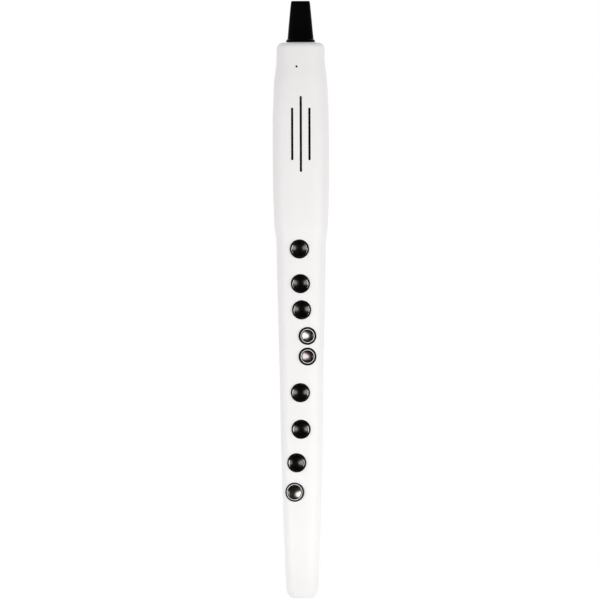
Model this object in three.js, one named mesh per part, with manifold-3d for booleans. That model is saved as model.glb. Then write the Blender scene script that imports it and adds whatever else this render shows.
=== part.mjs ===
// Digital wind controller: a hand-held electronic instrument that is fingered like a recorder.
// Millimetres. +Z runs up the body to the mouthpiece, the finger keys face -Y and the thumb keys +Y.
// The origin is the centre of the flat lower end.
import * as THREE from "three";
import { mergeVertices } from "three/addons/utils/BufferGeometryUtils.js";
import Module from "manifold-3d";

const wasm = await Module();
wasm.setup();

// Clearances
const touchGap = 0.3; // between pieces that meet or lie on each other
const slideGap = 0.2; // round a piece that slides
const cutOverrun = 1.5; // how far a cut runs past the face that it opens

// Body
const bodyWidth = 42.5;
const bodyDepth = 33.5;
const wall = 2.4;
const endWall = 2.6;
const footRadius = 6;
const crownRadius = 4;
const seamBehindMiddle = 3;
const footLength = 80.1; // lower end to the centre of the lowest finger key
const headLength = 155.6; // centre of the highest finger key to the top of the body
const sectionPower = 2.5; // 2 is an ellipse, more is squarer
const depthPower = 0.85; // under 1, the slim lower end is rounder than the head
const sectionSides = 28;
const hollowSides = 20;
const cornerSteps = 3;

// The outline from the lower end up: share of the body's length, share of its width
const outlineShares = [
  [0, 0.552],
  [0.061, 0.602],
  [0.169, 0.678],
  [0.299, 0.744],
  [0.406, 0.776],
  [0.492, 0.816],
  [0.602, 0.863],
  [0.636, 0.875],
  [0.646, 0.884],
  [0.662, 0.932],
  [0.688, 0.962],
  [0.731, 0.99],
  [0.79, 1],
  [0.86, 0.998],
  [0.884, 0.981],
  [0.927, 0.95],
  [0.968, 0.868],
  [1, 0.85],
];

// Finger keys: each is a dished cap that slides in a ring set into the body
const mainRingRadius = 7.3;
const mainRingWidth = 1.1;
const mainLipWidth = 0.6;
const smallRingRadius = 6.8;
const smallRingWidth = 1.4;
const smallLipWidth = 0.7;
const lowLipWidth = 0.95;
const ringStands = 0.45; // above the body, on the key's axis
const ringSeatDepth = 1.2; // below the body's surface, on the key's axis
const ringBarrel = 1.7; // below the seat
const ringBarrelWall = 0.45;
const ringChamfer = 0.25;
const capStands = 0.25;
const dishDepth = 1.3;
const capFlangeThickness = 0.8;
const keyTravel = 1.2;
const stemRadius = 1.5;
const stemInWell = 1.3;
const wellSpare = 0.5;
const switchSide = 7;
const switchHeight = 4.3;
const roundSides = 16;
const dishSteps = 3;

// The clear body between neighbouring finger keys, from the lowest up
const rightLittleToRing = 7.5;
const rightRingToMiddle = 10.6;
const rightMiddleToIndex = 12.9;
const betweenHands = 13.1;
const littleKeyPairGap = 1.9;
const leftLittleToRing = 5.5;
const leftRingToMiddle = 5.1;
const leftMiddleToIndex = 11.5;

// Board, bosses and screws
const boardThickness = 1.6;
const boardEdgeGap = 1;
const boardFromFloor = 5;
const boardLength = 304;
const boardToTray = 8; // least clear height between the board's upper end and the battery tray
const boardStations = 12;
const bossRadius = 2.4;
const shoulderRadius = 3.6;
const pilotDepth = 7;
const screwRadius = 1;
const screwLength = 15;
const screwHeadRadius = 1.9;
const screwHeadThickness = 1.6;
const screwRecess = 1.2;
const driveRadius = 0.7;
const driveDepth = 0.9;
const bossSides = 12;
const footToLowScrew = 20; // below the lowest finger key
const screwAboveIndex = 27; // above the highest finger key
const crownToTopScrew = 32.6;
const bossSpare = 1.5; // least clear height below the top screw's boss

// Speaker behind three slots
const crownToSlots = 69.1;
const longSlotLength = 57.2;
const shortSlotLength = 39.6;
const slotWidth = 1.7;
const slotPitch = 6.5;
const clothMargin = 2.5;
const clothThickness = 0.5;
const speakerWidth = 20;
const speakerLength = 50;
const speakerDepth = 4.5;
const speakerRim = 1.5;
const speakerFloor = 1.4;
const coneThickness = 1.4;
const coneDish = 0.7;
const coilRadius = 5;
const magnetRadius = 8;
const magnetThickness = 3.4;
const arcSteps = 2; // halved steps in each quarter of a round end

// Battery
const batteryWidth = 24;
const batteryLength = 56;
const batteryThickness = 7.5;
const batteryEdge = 1.5;
const trayThickness = 1.2;
const trayRim = 1.4;
const trayLip = 2;
const ledgeThickness = 2;
const ledgeReach = 4;

// Mouthpiece
const beakLength = 29;
const beakWidth = 19.8;
const beakDepth = 14.6;
const beakPower = 3.4;
const beakSides = 20;
const flangeWidth = 21.9;
const flangeDepth = 16.6;
const flangeThickness = 1.3;
const gasketWidth = 19;
const gasketDepth = 15;
const gasketThickness = 0.8;
const tenonRadius = 5.6;
const tenonLength = 11;
const airBoreRadius = 2.1;
const airSlotWidth = 8;
const airSlotHeight = 1.5;
const airSlotDepth = 8;
const socketWall = 1.7;
const socketFloor = 2;
const portRadius = 1.8;
const portBoreRadius = 0.9;
const portLength = 2.5;
const portSideways = 3.6;

// The beak from its flange up: share of its length, of its width and of its depth
const beakShares = [
  [0, 1, 1],
  [0.25, 0.93, 0.8],
  [0.5, 0.86, 0.63],
  [0.75, 0.79, 0.48],
  [0.92, 0.735, 0.39],
  [0.975, 0.71, 0.35],
  [1, 0.65, 0.28],
];

// Breath tube and sensor
const tubeRadius = 1.6;
const tubeBoreRadius = 0.9;
const tubeArcSteps = 4;
const tubeSteps = 24;
const tubeFromWall = 0.8;
const sensorSide = 7;
const sensorHeight = 3.6;
const sensorFromBoardTop = 8;
const sensorSideways = 11;
const nozzleLength = 3;

// Status light
const statusSideways = -3.1;
const crownToStatus = 18.3;
const statusRadius = 0.7;
const statusGap = 0.15;
const statusFlangeRadius = 1.7;
const statusFlangeThickness = 1.5;

// Controls on the back, each a chain upwards from the screw between the hands
const controlGap = 3;
const buttonRadius = 3;
const buttonStands = 0.9;
const buttonFlange = 0.7;
const buttonTravel = 0.8;
const rockerWidth = 6;
const rockerLength = 14;
const rockerStands = 1.4;
const rockerRoom = 0.5;
const rockerPivotDepth = 4;
const rockerLegWidth = 2.4;
const blockWidth = 10;
const blockHeight = 4.6;

// Thumb keys on the back
const plateGap = 5;
const plateWidth = 17;
const plateLength = 62;
const plateThickness = 1.6;
const platePadThickness = 2.6;
const platePadMargin = 2.5;
const thumbKeyWidth = 10.5;
const octaveKeyWidth = 12;
const octaveKeyLength = 8;
const octaveKeyOffset = 19;
const thumbCapStands = 1.3;
const thumbCapEdge = 0.5;
const thumbFlangeReach = 0.7;

// Thumb rest on the back
const restBelowIndex = 27; // below the right index key
const restWidth = 15;
const restBaseHeight = 22;
const restBaseThickness = 2;
const restSeatDepth = 1.4;
const restReach = 12;
const restThickness = 3.2;
const restTipRadius = 1.5;
const pegRadius = 1.6;
const pegOffset = 6.5;

// Sockets near the lower end, on the back
const jackHeight = 15;
const jackRadius = 3.1;
const jackBoreRadius = 1.8;
const jackBoreDepth = 8;
const jackToUsb = 12.5;
const usbWidth = 9;
const usbHeight = 3.3;
const usbShellWall = 0.4;
const usbDepth = 6.2;
const usbTongueWidth = 6.6;
const usbTongueHeight = 0.7;
const usbTongueShort = 1;
const socketSunk = 0.4;

const shades = {
  body: new THREE.MeshStandardMaterial({ color: 0xf1eeee, roughness: 0.28, metalness: 0 }),
  mouthpiece: new THREE.MeshStandardMaterial({ color: 0x0b0b0c, roughness: 0.35, metalness: 0 }),
  rubber: new THREE.MeshStandardMaterial({ color: 0x8f8d8b, roughness: 0.8, metalness: 0 }),
  darkChrome: new THREE.MeshStandardMaterial({ color: 0x2a2624, roughness: 0.18, metalness: 0.9 }),
  ring: new THREE.MeshStandardMaterial({ color: 0x171514, roughness: 0.25, metalness: 0.8 }),
  blackPlastic: new THREE.MeshStandardMaterial({ color: 0x161617, roughness: 0.5, metalness: 0 }),
  greyPlastic: new THREE.MeshStandardMaterial({ color: 0x55585c, roughness: 0.5, metalness: 0 }),
  board: new THREE.MeshStandardMaterial({ color: 0x1f5d3a, roughness: 0.5, metalness: 0 }),
  cloth: new THREE.MeshStandardMaterial({ color: 0x0d0d0e, roughness: 0.95, metalness: 0 }),
  steel: new THREE.MeshStandardMaterial({ color: 0xb6b8bb, roughness: 0.3, metalness: 0.95 }),
  foil: new THREE.MeshStandardMaterial({ color: 0xc3c7cc, roughness: 0.4, metalness: 0.5 }),
  tube: new THREE.MeshStandardMaterial({ color: 0xd8dcde, roughness: 0.4, metalness: 0 }),
  light: new THREE.MeshStandardMaterial({ color: 0x3a3a3c, roughness: 0.15, metalness: 0 }),
};

// A closed geometry as a solid, with its faces turned outwards.
function solidOf(geometry) {
  const bare = geometry.clone();
  for (const name of ["normal", "uv"]) bare.deleteAttribute(name);
  const merged = mergeVertices(bare);
  const found = merged.index.array;
  const corners = [];
  for (let i = 0; i < found.length; i += 3) {
    const [a, b, c] = [found[i], found[i + 1], found[i + 2]];
    if (a !== b && b !== c && c !== a) corners.push(a, b, c);
  }
  const made = fromCorners(merged.attributes.position.array, corners);
  if (made.volume() > 0) return made;
  return fromCorners(merged.attributes.position.array, corners.reverse());
}

function fromCorners(points, corners) {
  return new wasm.Manifold(
    new wasm.Mesh({ numProp: 3, vertProperties: points, triVerts: new Uint32Array(corners) }),
  );
}

function geometryOf(solid) {
  const mesh = solid.getMesh();
  const geometry = new THREE.BufferGeometry();
  geometry.setAttribute("position", new THREE.BufferAttribute(mesh.vertProperties, 3));
  geometry.setIndex(new THREE.BufferAttribute(mesh.triVerts, 1));
  const faceted = geometry.toNonIndexed();
  faceted.computeVertexNormals();
  return faceted;
}

const joined = (solids) => solids.reduce((whole, next) => whole.add(next));
const without = (solid, cuts) => cuts.reduce((left, cut) => left.subtract(cut), solid);

// A solid of revolution about the Y axis, from [radius, height] points that start and end on it.
function turned(points, sides = roundSides) {
  const profile = points.map(([radius, height]) => new THREE.Vector2(radius, height));
  return solidOf(new THREE.LatheGeometry(profile, sides));
}

function rod(radius, low, high, sides = roundSides) {
  return turned([[0, low], [radius, low], [radius, high], [0, high]], sides);
}

// A solid moved in place.
function moved(solid, x, y, z) {
  return solid.translate([x, y, z]);
}

// A block between two corners.
function block(low, high) {
  const size = high.map((value, i) => value - low[i]);
  const box = new THREE.BoxGeometry(...size);
  return moved(solidOf(box), ...low.map((value, i) => value + size[i] / 2));
}

// An outline in X and Z, thickened along Y from low to high.
function slab(shape, low, high, segments = arcSteps) {
  const made = new THREE.ExtrudeGeometry(shape, {
    depth: high - low,
    bevelEnabled: false,
    curveSegments: segments,
  });
  made.rotateX(Math.PI / 2);
  made.translate(0, high, 0);
  return solidOf(made);
}

// A slot outline: straight sides and round ends, or a disc where both sizes are alike.
function slotShape(width, length, x = 0, z = 0) {
  const radius = Math.min(width, length) / 2;
  const acrossX = width / 2 - radius;
  const alongZ = length / 2 - radius;
  const shape = new THREE.Shape();
  const corners = [[acrossX, alongZ], [-acrossX, alongZ], [-acrossX, -alongZ], [acrossX, -alongZ]];
  corners.forEach(([dx, dz], i) => {
    const start = (i * Math.PI) / 2;
    shape.absarc(x + dx, z + dz, radius, start, start + Math.PI / 2, false);
  });
  return shape;
}

function shareAt(height) {
  const share = Math.min(1, Math.max(0, height / bodyLength));
  const next = Math.max(1, outlineShares.findIndex(([at]) => at >= share));
  const [lowAt, low] = outlineShares[next - 1];
  const [highAt, high] = outlineShares[next];
  return low + ((high - low) * (share - lowAt)) / (highAt - lowAt);
}

// How far the rounded corner at either end of the body draws its outline in.
function cornerInset(height) {
  const low = Math.min(footRadius, Math.max(0, footRadius - height));
  const high = Math.min(crownRadius, Math.max(0, crownRadius - (bodyLength - height)));
  const foot = footRadius - Math.sqrt(footRadius ** 2 - low ** 2);
  const crown = crownRadius - Math.sqrt(crownRadius ** 2 - high ** 2);
  return foot + crown;
}

const halfWidth = (height) => (bodyWidth / 2) * shareAt(height) - cornerInset(height);
const halfDepth = (height) =>
  (bodyDepth / 2) * shareAt(height) ** depthPower - cornerInset(height);

// How far the body's surface, drawn in by inset, lies from the middle plane at a sideways place.
function surfaceDepth(side, height, inset = 0) {
  const across = Math.min(1, Math.abs(side) / (halfWidth(height) - inset));
  return (halfDepth(height) - inset) * (1 - across ** sectionPower) ** (1 / sectionPower);
}

// The angle by which the front surface turns to the side there.
function surfaceTilt(side, height) {
  const acrossPull = Math.abs(side) ** (sectionPower - 1) / halfWidth(height) ** sectionPower;
  const depth = surfaceDepth(side, height);
  const depthPull = depth ** (sectionPower - 1) / halfDepth(height) ** sectionPower;
  return Math.sign(side) * Math.atan2(acrossPull, depthPull);
}

// One closed ring of a loft: a superellipse at a height.
function ringOf(halfX, halfY, height, power, sides) {
  const bend = (value) => Math.sign(value) * Math.abs(value) ** (2 / power);
  return Array.from({ length: sides }, (_, i) => {
    const turn = (2 * Math.PI * i) / sides;
    return [halfX * bend(Math.cos(turn)), halfY * bend(Math.sin(turn)), height];
  });
}

// A closed solid through rings from the lowest up.
function loft(rings) {
  const sides = rings[0].length;
  const points = rings.flat(2);
  const corners = [];
  for (let i = 0; i + 1 < rings.length; i += 1) {
    for (let j = 0; j < sides; j += 1) {
      const next = (j + 1) % sides;
      const [a, b] = [i * sides + j, i * sides + next];
      corners.push(a, b, b + sides, a, b + sides, a + sides);
    }
  }
  const bottom = points.length / 3;
  const top = bottom + 1;
  const last = (rings.length - 1) * sides;
  points.push(0, 0, rings[0][0][2], 0, 0, rings.at(-1)[0][2]);
  for (let j = 0; j < sides; j += 1) {
    const next = (j + 1) % sides;
    corners.push(bottom, next, j, top, last + j, last + next);
  }
  return fromCorners(new Float32Array(points), corners);
}

// The heights at which the body's outline turns, with steps round both end corners.
function bodyHeights() {
  const heights = outlineShares.map(([at]) => at * bodyLength);
  for (let i = 1; i <= cornerSteps; i += 1) {
    const rise = 1 - Math.cos((i * Math.PI) / 2 / cornerSteps);
    heights.push(footRadius * rise, bodyLength - crownRadius * rise);
  }
  return heights.sort((a, b) => a - b);
}

// The body's form, drawn in all round by inset and at both ends by endInset.
function bodyForm(inset, endInset) {
  const [low, high] = [endInset, bodyLength - endInset];
  const between = bodyHeights().filter((z) => z > low + inset && z < high - inset);
  const heights = inset > 0 ? [low, ...between, high] : bodyHeights();
  const sides = inset > 0 ? hollowSides : sectionSides;
  return loft(
    heights.map((z) =>
      ringOf(halfWidth(z) - inset, halfDepth(z) - inset, z, sectionPower, sides),
    ),
  );
}

// The finger keys' kinds: the ring, the cap that it guides and the cap's dish
function keyKind(ringRadius, ringWidth, lipWidth) {
  const capRadius = ringRadius - ringWidth - slideGap;
  return {
    ringRadius,
    capRadius,
    dishRadius: capRadius - lipWidth,
    barrelRadius: capRadius + slideGap + ringBarrelWall,
  };
}

const mainKey = keyKind(mainRingRadius, mainRingWidth, mainLipWidth);
const smallKey = keyKind(smallRingRadius, smallRingWidth, smallLipWidth);
const lowKey = keyKind(mainRingRadius, mainRingWidth, lowLipWidth);

// From the lowest up: name, kind, share of the body's width to the side, clear body below the ring
const fingerKeyRows = [
  ["right_little", lowKey, -0.129, 0],
  ["right_ring", mainKey, -0.092, rightLittleToRing],
  ["right_middle", mainKey, -0.012, rightRingToMiddle],
  ["right_index", mainKey, -0.022, rightMiddleToIndex],
  ["left_little_lower", smallKey, 0.108, betweenHands],
  ["left_little_upper", smallKey, 0.108, littleKeyPairGap],
  ["left_ring", mainKey, 0.004, leftLittleToRing],
  ["left_middle", mainKey, -0.016, leftRingToMiddle],
  ["left_index", mainKey, -0.031, leftMiddleToIndex],
];

function stackKeys() {
  const keys = {};
  let height = footLength;
  let below = null;
  for (const [name, kind, sideShare, gap] of fingerKeyRows) {
    if (below) height += below.ringRadius + gap + kind.ringRadius;
    keys[name] = { name, kind, side: sideShare * bodyWidth, height };
    below = kind;
  }
  return keys;
}

const fingerKeys = stackKeys();
const boardFront = -boardThickness / 2;
const boardBack = boardThickness / 2;
const boardLow = endWall + boardFromFloor;
const boardHigh = boardLow + boardLength;

// The speaker, its cloth and the battery tray lie round one height, clear of the top screw's boss.
const clothLength = longSlotLength + 2 * clothMargin;
const trayHalfX = batteryWidth / 2 + touchGap + trayRim;
const trayHalfZ = batteryLength / 2 + touchGap + trayRim;
const speakerGroupHalfZ = Math.max(clothLength / 2, speakerLength / 2, trayHalfZ);
const slotsBelowCrown = Math.max(
  crownToSlots,
  crownToTopScrew + shoulderRadius + bossSpare + speakerGroupHalfZ,
);

// The head starts above the highest key and above the board's end, whichever needs more.
const bodyLength = Math.max(
  fingerKeys.left_index.height + headLength,
  boardHigh + boardToTray + trayHalfZ + slotsBelowCrown,
);

for (const key of Object.values(fingerKeys)) {
  key.depth = surfaceDepth(key.side, key.height);
  key.tilt = surfaceTilt(key.side, key.height);
  // The switch stands on the board, so its top is found from there along the key's own axis.
  key.boardAt = -(key.depth + boardFront - touchGap) / Math.cos(key.tilt);
  key.switchTop = key.boardAt + switchHeight;
  key.stemTip = key.switchTop - stemInWell;
}

// A group whose +Y points out of the body at a finger key.
function keyGroup(key) {
  const group = new THREE.Group();
  group.position.set(key.side, -key.depth, key.height);
  group.rotation.z = Math.PI + key.tilt;
  group.updateMatrix();
  return group;
}

const inPlaceOf = (group, solid) => solid.transform(group.matrix.elements);
const toPlaceOf = (group, solid) => solid.transform(group.matrix.clone().invert().elements);

function dishPoints(radius, rim, depth) {
  return Array.from({ length: dishSteps + 1 }, (_, i) => {
    const share = i / dishSteps;
    return [radius * share, rim - depth * (1 - share ** 2)];
  });
}

function fingerCap(key) {
  const { capRadius, dishRadius, barrelRadius } = key.kind;
  const flangeTop = -(ringSeatDepth + ringBarrel + touchGap);
  const flangeLow = flangeTop - capFlangeThickness;
  return turned([
    ...dishPoints(dishRadius, capStands, dishDepth),
    [capRadius, capStands - ringChamfer],
    [capRadius, flangeTop],
    [barrelRadius, flangeTop],
    [barrelRadius, flangeLow],
    [stemRadius, flangeLow],
    [stemRadius, key.stemTip],
    [0, key.stemTip],
  ]);
}

function fingerRing({ ringRadius, capRadius, barrelRadius }) {
  const bore = capRadius + slideGap;
  const barrelLow = -(ringSeatDepth + ringBarrel);
  const body = turned([
    [0, barrelLow],
    [barrelRadius, barrelLow],
    [barrelRadius, -ringSeatDepth],
    [ringRadius, -ringSeatDepth],
    [ringRadius, ringStands - ringChamfer],
    [ringRadius - ringChamfer, ringStands],
    [0, ringStands],
  ]);
  return body.subtract(rod(bore, barrelLow - cutOverrun, ringStands + cutOverrun));
}

// The stepped hole that a ring sits in.
function ringHole({ ringRadius, barrelRadius }) {
  const seat = -(ringSeatDepth + touchGap);
  const [hole, spot] = [barrelRadius + touchGap, ringRadius + touchGap];
  const low = -(2 * wall + cutOverrun);
  const high = ringStands + cutOverrun;
  return turned([[0, low], [hole, low], [hole, seat], [spot, seat], [spot, high], [0, high]]);
}

// A switch on the board, with a well for the key's stem. Its foot is cut flush with the board.
function keySwitch(key, group) {
  const half = switchSide / 2;
  const wellFloor = key.stemTip - keyTravel - wellSpare;
  const below = key.boardAt - switchSide;
  const housing = block([-half, below, -half], [half, key.switchTop, half]);
  const well = rod(stemRadius + touchGap, wellFloor, key.switchTop + cutOverrun, bossSides);
  const reach = bodyWidth;
  const behind = block(
    [key.side - reach, boardFront - touchGap, key.height - reach],
    [key.side + reach, bodyDepth, key.height + reach],
  );
  return without(housing, [well, toPlaceOf(group, behind)]);
}

// Screws: each holds the back shell to a boss of the front shell.
const screwHeights = {
  low: fingerKeys.right_little.height - footToLowScrew,
  middle:
    (fingerKeys.right_index.height +
      mainRingRadius +
      fingerKeys.left_little_lower.height -
      smallRingRadius) /
    2,
  high: fingerKeys.left_index.height + screwAboveIndex,
  top: bodyLength - crownToTopScrew,
};

const headSeatAt = (height) => halfDepth(height) - screwRecess - screwHeadThickness;
const bossEnd = seamBehindMiddle - touchGap / 2;

function frontBoss(height) {
  const front = -(halfDepth(height) - wall / 2);
  const shoulder = rod(shoulderRadius, front, boardFront - touchGap, bossSides);
  return moved(shoulder.add(rod(bossRadius, front, bossEnd, bossSides)), 0, 0, height);
}

function pilotHole(height) {
  const pilot = rod(screwRadius + slideGap, bossEnd - pilotDepth, bossEnd + cutOverrun, bossSides);
  return moved(pilot, 0, 0, height);
}

function backBoss(height) {
  const low = seamBehindMiddle + touchGap / 2;
  return moved(rod(shoulderRadius, low, halfDepth(height) - wall / 2, bossSides), 0, 0, height);
}

function screwWell(height) {
  const seat = headSeatAt(height) - touchGap;
  const shank = rod(screwRadius + slideGap, seamBehindMiddle - cutOverrun, seat + cutOverrun, bossSides);
  const mouth = halfDepth(height) + cutOverrun;
  const head = rod(screwHeadRadius + touchGap, seat, mouth, bossSides);
  return moved(shank.add(head), 0, 0, height);
}

function screw(height) {
  const seat = headSeatAt(height);
  const tip = Math.max(seat - screwLength, bossEnd - pilotDepth + touchGap);
  const body = turned(
    [
      [0, tip],
      [screwRadius, tip + screwRadius],
      [screwRadius, seat],
      [screwHeadRadius, seat],
      [screwHeadRadius, seat + screwHeadThickness],
      [0, seat + screwHeadThickness],
    ],
    bossSides,
  );
  const top = seat + screwHeadThickness;
  const arm = (wide, deep) =>
    block([-wide, top - driveDepth, -deep], [wide, top + cutOverrun, deep]);
  const narrow = driveRadius / 3;
  return without(body, [arm(driveRadius, narrow), arm(narrow, driveRadius)]);
}

// Speaker, cloth and slots
const slotsHeight = bodyLength - slotsBelowCrown;
const clothWidth = 2 * slotPitch + slotWidth + 2 * clothMargin;

function speakerSlots() {
  const [low, high] = [-(bodyDepth / 2 + cutOverrun), -(bodyDepth / 2 - 2 * wall)];
  return [-1, 0, 1].map((place) => {
    const length = place === 0 ? longSlotLength : shortSlotLength;
    return slab(slotShape(slotWidth, length, place * slotPitch, slotsHeight), low, high);
  });
}

function speakerCloth() {
  const front = wall + touchGap;
  const sheet = bodyForm(front, endWall).subtract(bodyForm(front + clothThickness, endWall));
  const [halfX, halfZ, z] = [clothWidth / 2, clothLength / 2, slotsHeight];
  return sheet.intersect(block([-halfX, -bodyDepth, z - halfZ], [halfX, 0, z + halfZ]));
}

// The speaker's flat front touches the cloth at the corners of its frame.
function speakerFront() {
  const behind = wall + 2 * touchGap + clothThickness;
  const [z, half] = [slotsHeight, speakerLength / 2];
  const depths = [z - half, z, z + half].map((at) => surfaceDepth(speakerWidth / 2, at, behind));
  return -Math.min(...depths);
}

function speakerFrame() {
  const front = speakerFront();
  const back = front + speakerDepth;
  const z = slotsHeight;
  const pocket = (trim) => slotShape(speakerWidth - 2 * trim, speakerLength - 2 * trim, 0, z);
  return without(slab(pocket(0), front, back), [
    slab(pocket(speakerRim), front - cutOverrun, back - speakerFloor),
    moved(rod(coilRadius, front, back + cutOverrun), 0, 0, z),
  ]);
}

function speakerCone() {
  const front = speakerFront() + touchGap;
  const trim = speakerRim + touchGap;
  const z = slotsHeight;
  const plate = slotShape(speakerWidth - 2 * trim, speakerLength - 2 * trim, 0, z);
  const hollow = 2 * trim + 2 * speakerRim;
  const dish = slotShape(speakerWidth - hollow, speakerLength - hollow, 0, z);
  return slab(plate, front, front + coneThickness).subtract(
    slab(dish, front - cutOverrun, front + coneDish),
  );
}

function speakerMagnet() {
  const front = speakerFront() + speakerDepth + touchGap;
  return moved(rod(magnetRadius, front, front + magnetThickness), 0, 0, slotsHeight);
}

// Battery in a tray behind the speaker
const trayFront = speakerFront() + speakerDepth + magnetThickness + 2 * touchGap;

function batteryTray() {
  const [z, front] = [slotsHeight, trayFront];
  const back = front + trayThickness + trayLip;
  const outside = block([-trayHalfX, front, z - trayHalfZ], [trayHalfX, back, z + trayHalfZ]);
  const [inX, inZ] = [trayHalfX - trayRim, trayHalfZ - trayRim];
  const floor = front + trayThickness;
  return outside.subtract(block([-inX, floor, z - inZ], [inX, back + cutOverrun, z + inZ]));
}

function battery() {
  const low = trayFront + trayThickness + touchGap;
  const [z, halfX, halfZ] = [slotsHeight, batteryWidth / 2, batteryLength / 2];
  const high = low + batteryThickness;
  const slimX = halfX - batteryEdge;
  const cell = block([-slimX, low, z - halfZ], [slimX, high, z + halfZ]);
  return cell.add(block([-halfX, low, z - halfZ], [halfX, high - batteryEdge, z + halfZ]));
}

// Ledges on the front shell's sides that carry the tray's corners.
function trayLedges() {
  const [z, high] = [slotsHeight, trayFront - touchGap];
  const low = high - ledgeThickness;
  const ledges = [];
  for (const sign of [-1, 1]) {
    for (const end of [-1, 1]) {
      const at = z + end * (trayHalfZ - ledgeReach / 2);
      const inner = trayHalfX - ledgeReach / 2;
      const outer = halfWidth(at) - wall / 2;
      const xs = [sign * inner, sign * outer].sort((a, b) => a - b);
      ledges.push(block([xs[0], low, at - ledgeReach / 2], [xs[1], high, at + ledgeReach / 2]));
    }
  }
  return ledges;
}

// Status light
const statusHeight = bodyLength - crownToStatus;

function statusGroup() {
  return keyGroup({
    side: statusSideways,
    height: statusHeight,
    depth: surfaceDepth(statusSideways, statusHeight),
    tilt: surfaceTilt(statusSideways, statusHeight),
  });
}

function statusLight() {
  const flange = -(wall + touchGap);
  return turned(
    [
      [0, flange - statusFlangeThickness],
      [statusFlangeRadius, flange - statusFlangeThickness],
      [statusFlangeRadius, flange],
      [statusRadius, flange],
      [statusRadius, 0],
      [0, 0],
    ],
    bossSides,
  );
}

// Board
function mainBoard() {
  const edge = (z) => halfWidth(z) - wall - boardEdgeGap;
  const heights = Array.from(
    { length: boardStations + 1 },
    (_, i) => boardLow + (boardLength * i) / boardStations,
  );
  const outline = [
    ...heights.map((z) => new THREE.Vector2(edge(z), z)),
    ...heights.reverse().map((z) => new THREE.Vector2(-edge(z), z)),
  ];
  const plate = slab(new THREE.Shape(outline), boardFront, boardBack);
  const holes = Object.values(screwHeights).map((z) => {
    const hole = rod(bossRadius + touchGap, -boardThickness, boardThickness, bossSides);
    return moved(hole, 0, 0, z);
  });
  return without(plate, holes);
}

// Mouthpiece, its gasket and the socket that takes its tenon
const gasketTop = bodyLength + gasketThickness;
const beakBase = gasketTop + flangeThickness;
const beakTip = beakBase + beakLength;
const socketTop = bodyLength - endWall - touchGap;
const tenonTip = bodyLength - tenonLength;
const socketLow = tenonTip - 2 * touchGap - socketFloor;

// A turned solid stands on the Y axis; this stands it up along Z.
const upright = (solid) => solid.rotate([90, 0, 0]);

function uprightRod(radius, low, high, sides = roundSides) {
  return moved(upright(rod(radius, 0, high - low, sides)), 0, 0, low);
}

function mouthpiece() {
  const beak = loft(
    beakShares.map(([at, across, deep]) =>
      ringOf(
        (beakWidth / 2) * across,
        (beakDepth / 2) * deep,
        beakBase + at * beakLength,
        beakPower,
        beakSides,
      ),
    ),
  );
  const flangeRing = (z) => ringOf(flangeWidth / 2, flangeDepth / 2, z, beakPower, beakSides);
  const flange = loft([flangeRing(gasketTop), flangeRing(beakBase)]);
  const tenon = uprightRod(tenonRadius, tenonTip, gasketTop);
  const bore = uprightRod(airBoreRadius, tenonTip - cutOverrun, beakTip - airSlotDepth);
  const [halfX, halfY] = [airSlotWidth / 2, airSlotHeight / 2];
  const slot = block(
    [-halfX, -halfY, beakTip - airSlotDepth - airBoreRadius],
    [halfX, halfY, beakTip + cutOverrun],
  );
  return without(joined([beak, flange, tenon]), [bore, slot]);
}

function mouthpieceGasket() {
  const ring = (z) => ringOf(gasketWidth / 2, gasketDepth / 2, z, beakPower, beakSides);
  const hole = uprightRod(
    tenonRadius + touchGap,
    bodyLength - cutOverrun,
    gasketTop + cutOverrun,
  );
  return loft([ring(bodyLength), ring(gasketTop)]).subtract(hole);
}

function tenonHole() {
  const high = bodyLength + cutOverrun;
  return uprightRod(tenonRadius + touchGap, bodyLength - endWall - cutOverrun, high);
}

function mouthpieceSocket() {
  const bore = tenonRadius + touchGap;
  const cup = uprightRod(bore + socketWall, socketLow, socketTop);
  const port = moved(
    uprightRod(portRadius, socketLow - portLength, socketLow + socketFloor / 2, bossSides),
    -portSideways, 0, 0,
  );
  const portBore = moved(
    uprightRod(portBoreRadius, socketLow - portLength - cutOverrun, socketTop, bossSides),
    -portSideways, 0, 0,
  );
  const hollow = uprightRod(bore, socketLow + socketFloor, socketTop + cutOverrun);
  return without(cup.add(port), [hollow, portBore]);
}

// Breath sensor on the back of the board, and the tube that brings it the player's breath
const sensorHeightAt = boardHigh - sensorFromBoardTop;
const nozzleY = boardBack + touchGap + sensorHeight / 2;
const nozzleTop = sensorHeightAt + sensorSide / 2 + nozzleLength;

function breathSensor() {
  const [half, low] = [sensorSide / 2, boardBack + touchGap];
  const [x, z] = [-sensorSideways, sensorHeightAt];
  const housing = block([x - half, low, z - half], [x + half, low + sensorHeight, z + half]);
  const [nozzle, bore] = [
    uprightRod(portRadius, z, nozzleTop, bossSides),
    uprightRod(portBoreRadius, z, nozzleTop + cutOverrun, bossSides),
  ];
  return without(housing.add(moved(nozzle, x, nozzleY, 0)), [moved(bore, x, nozzleY, 0)]);
}

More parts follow.
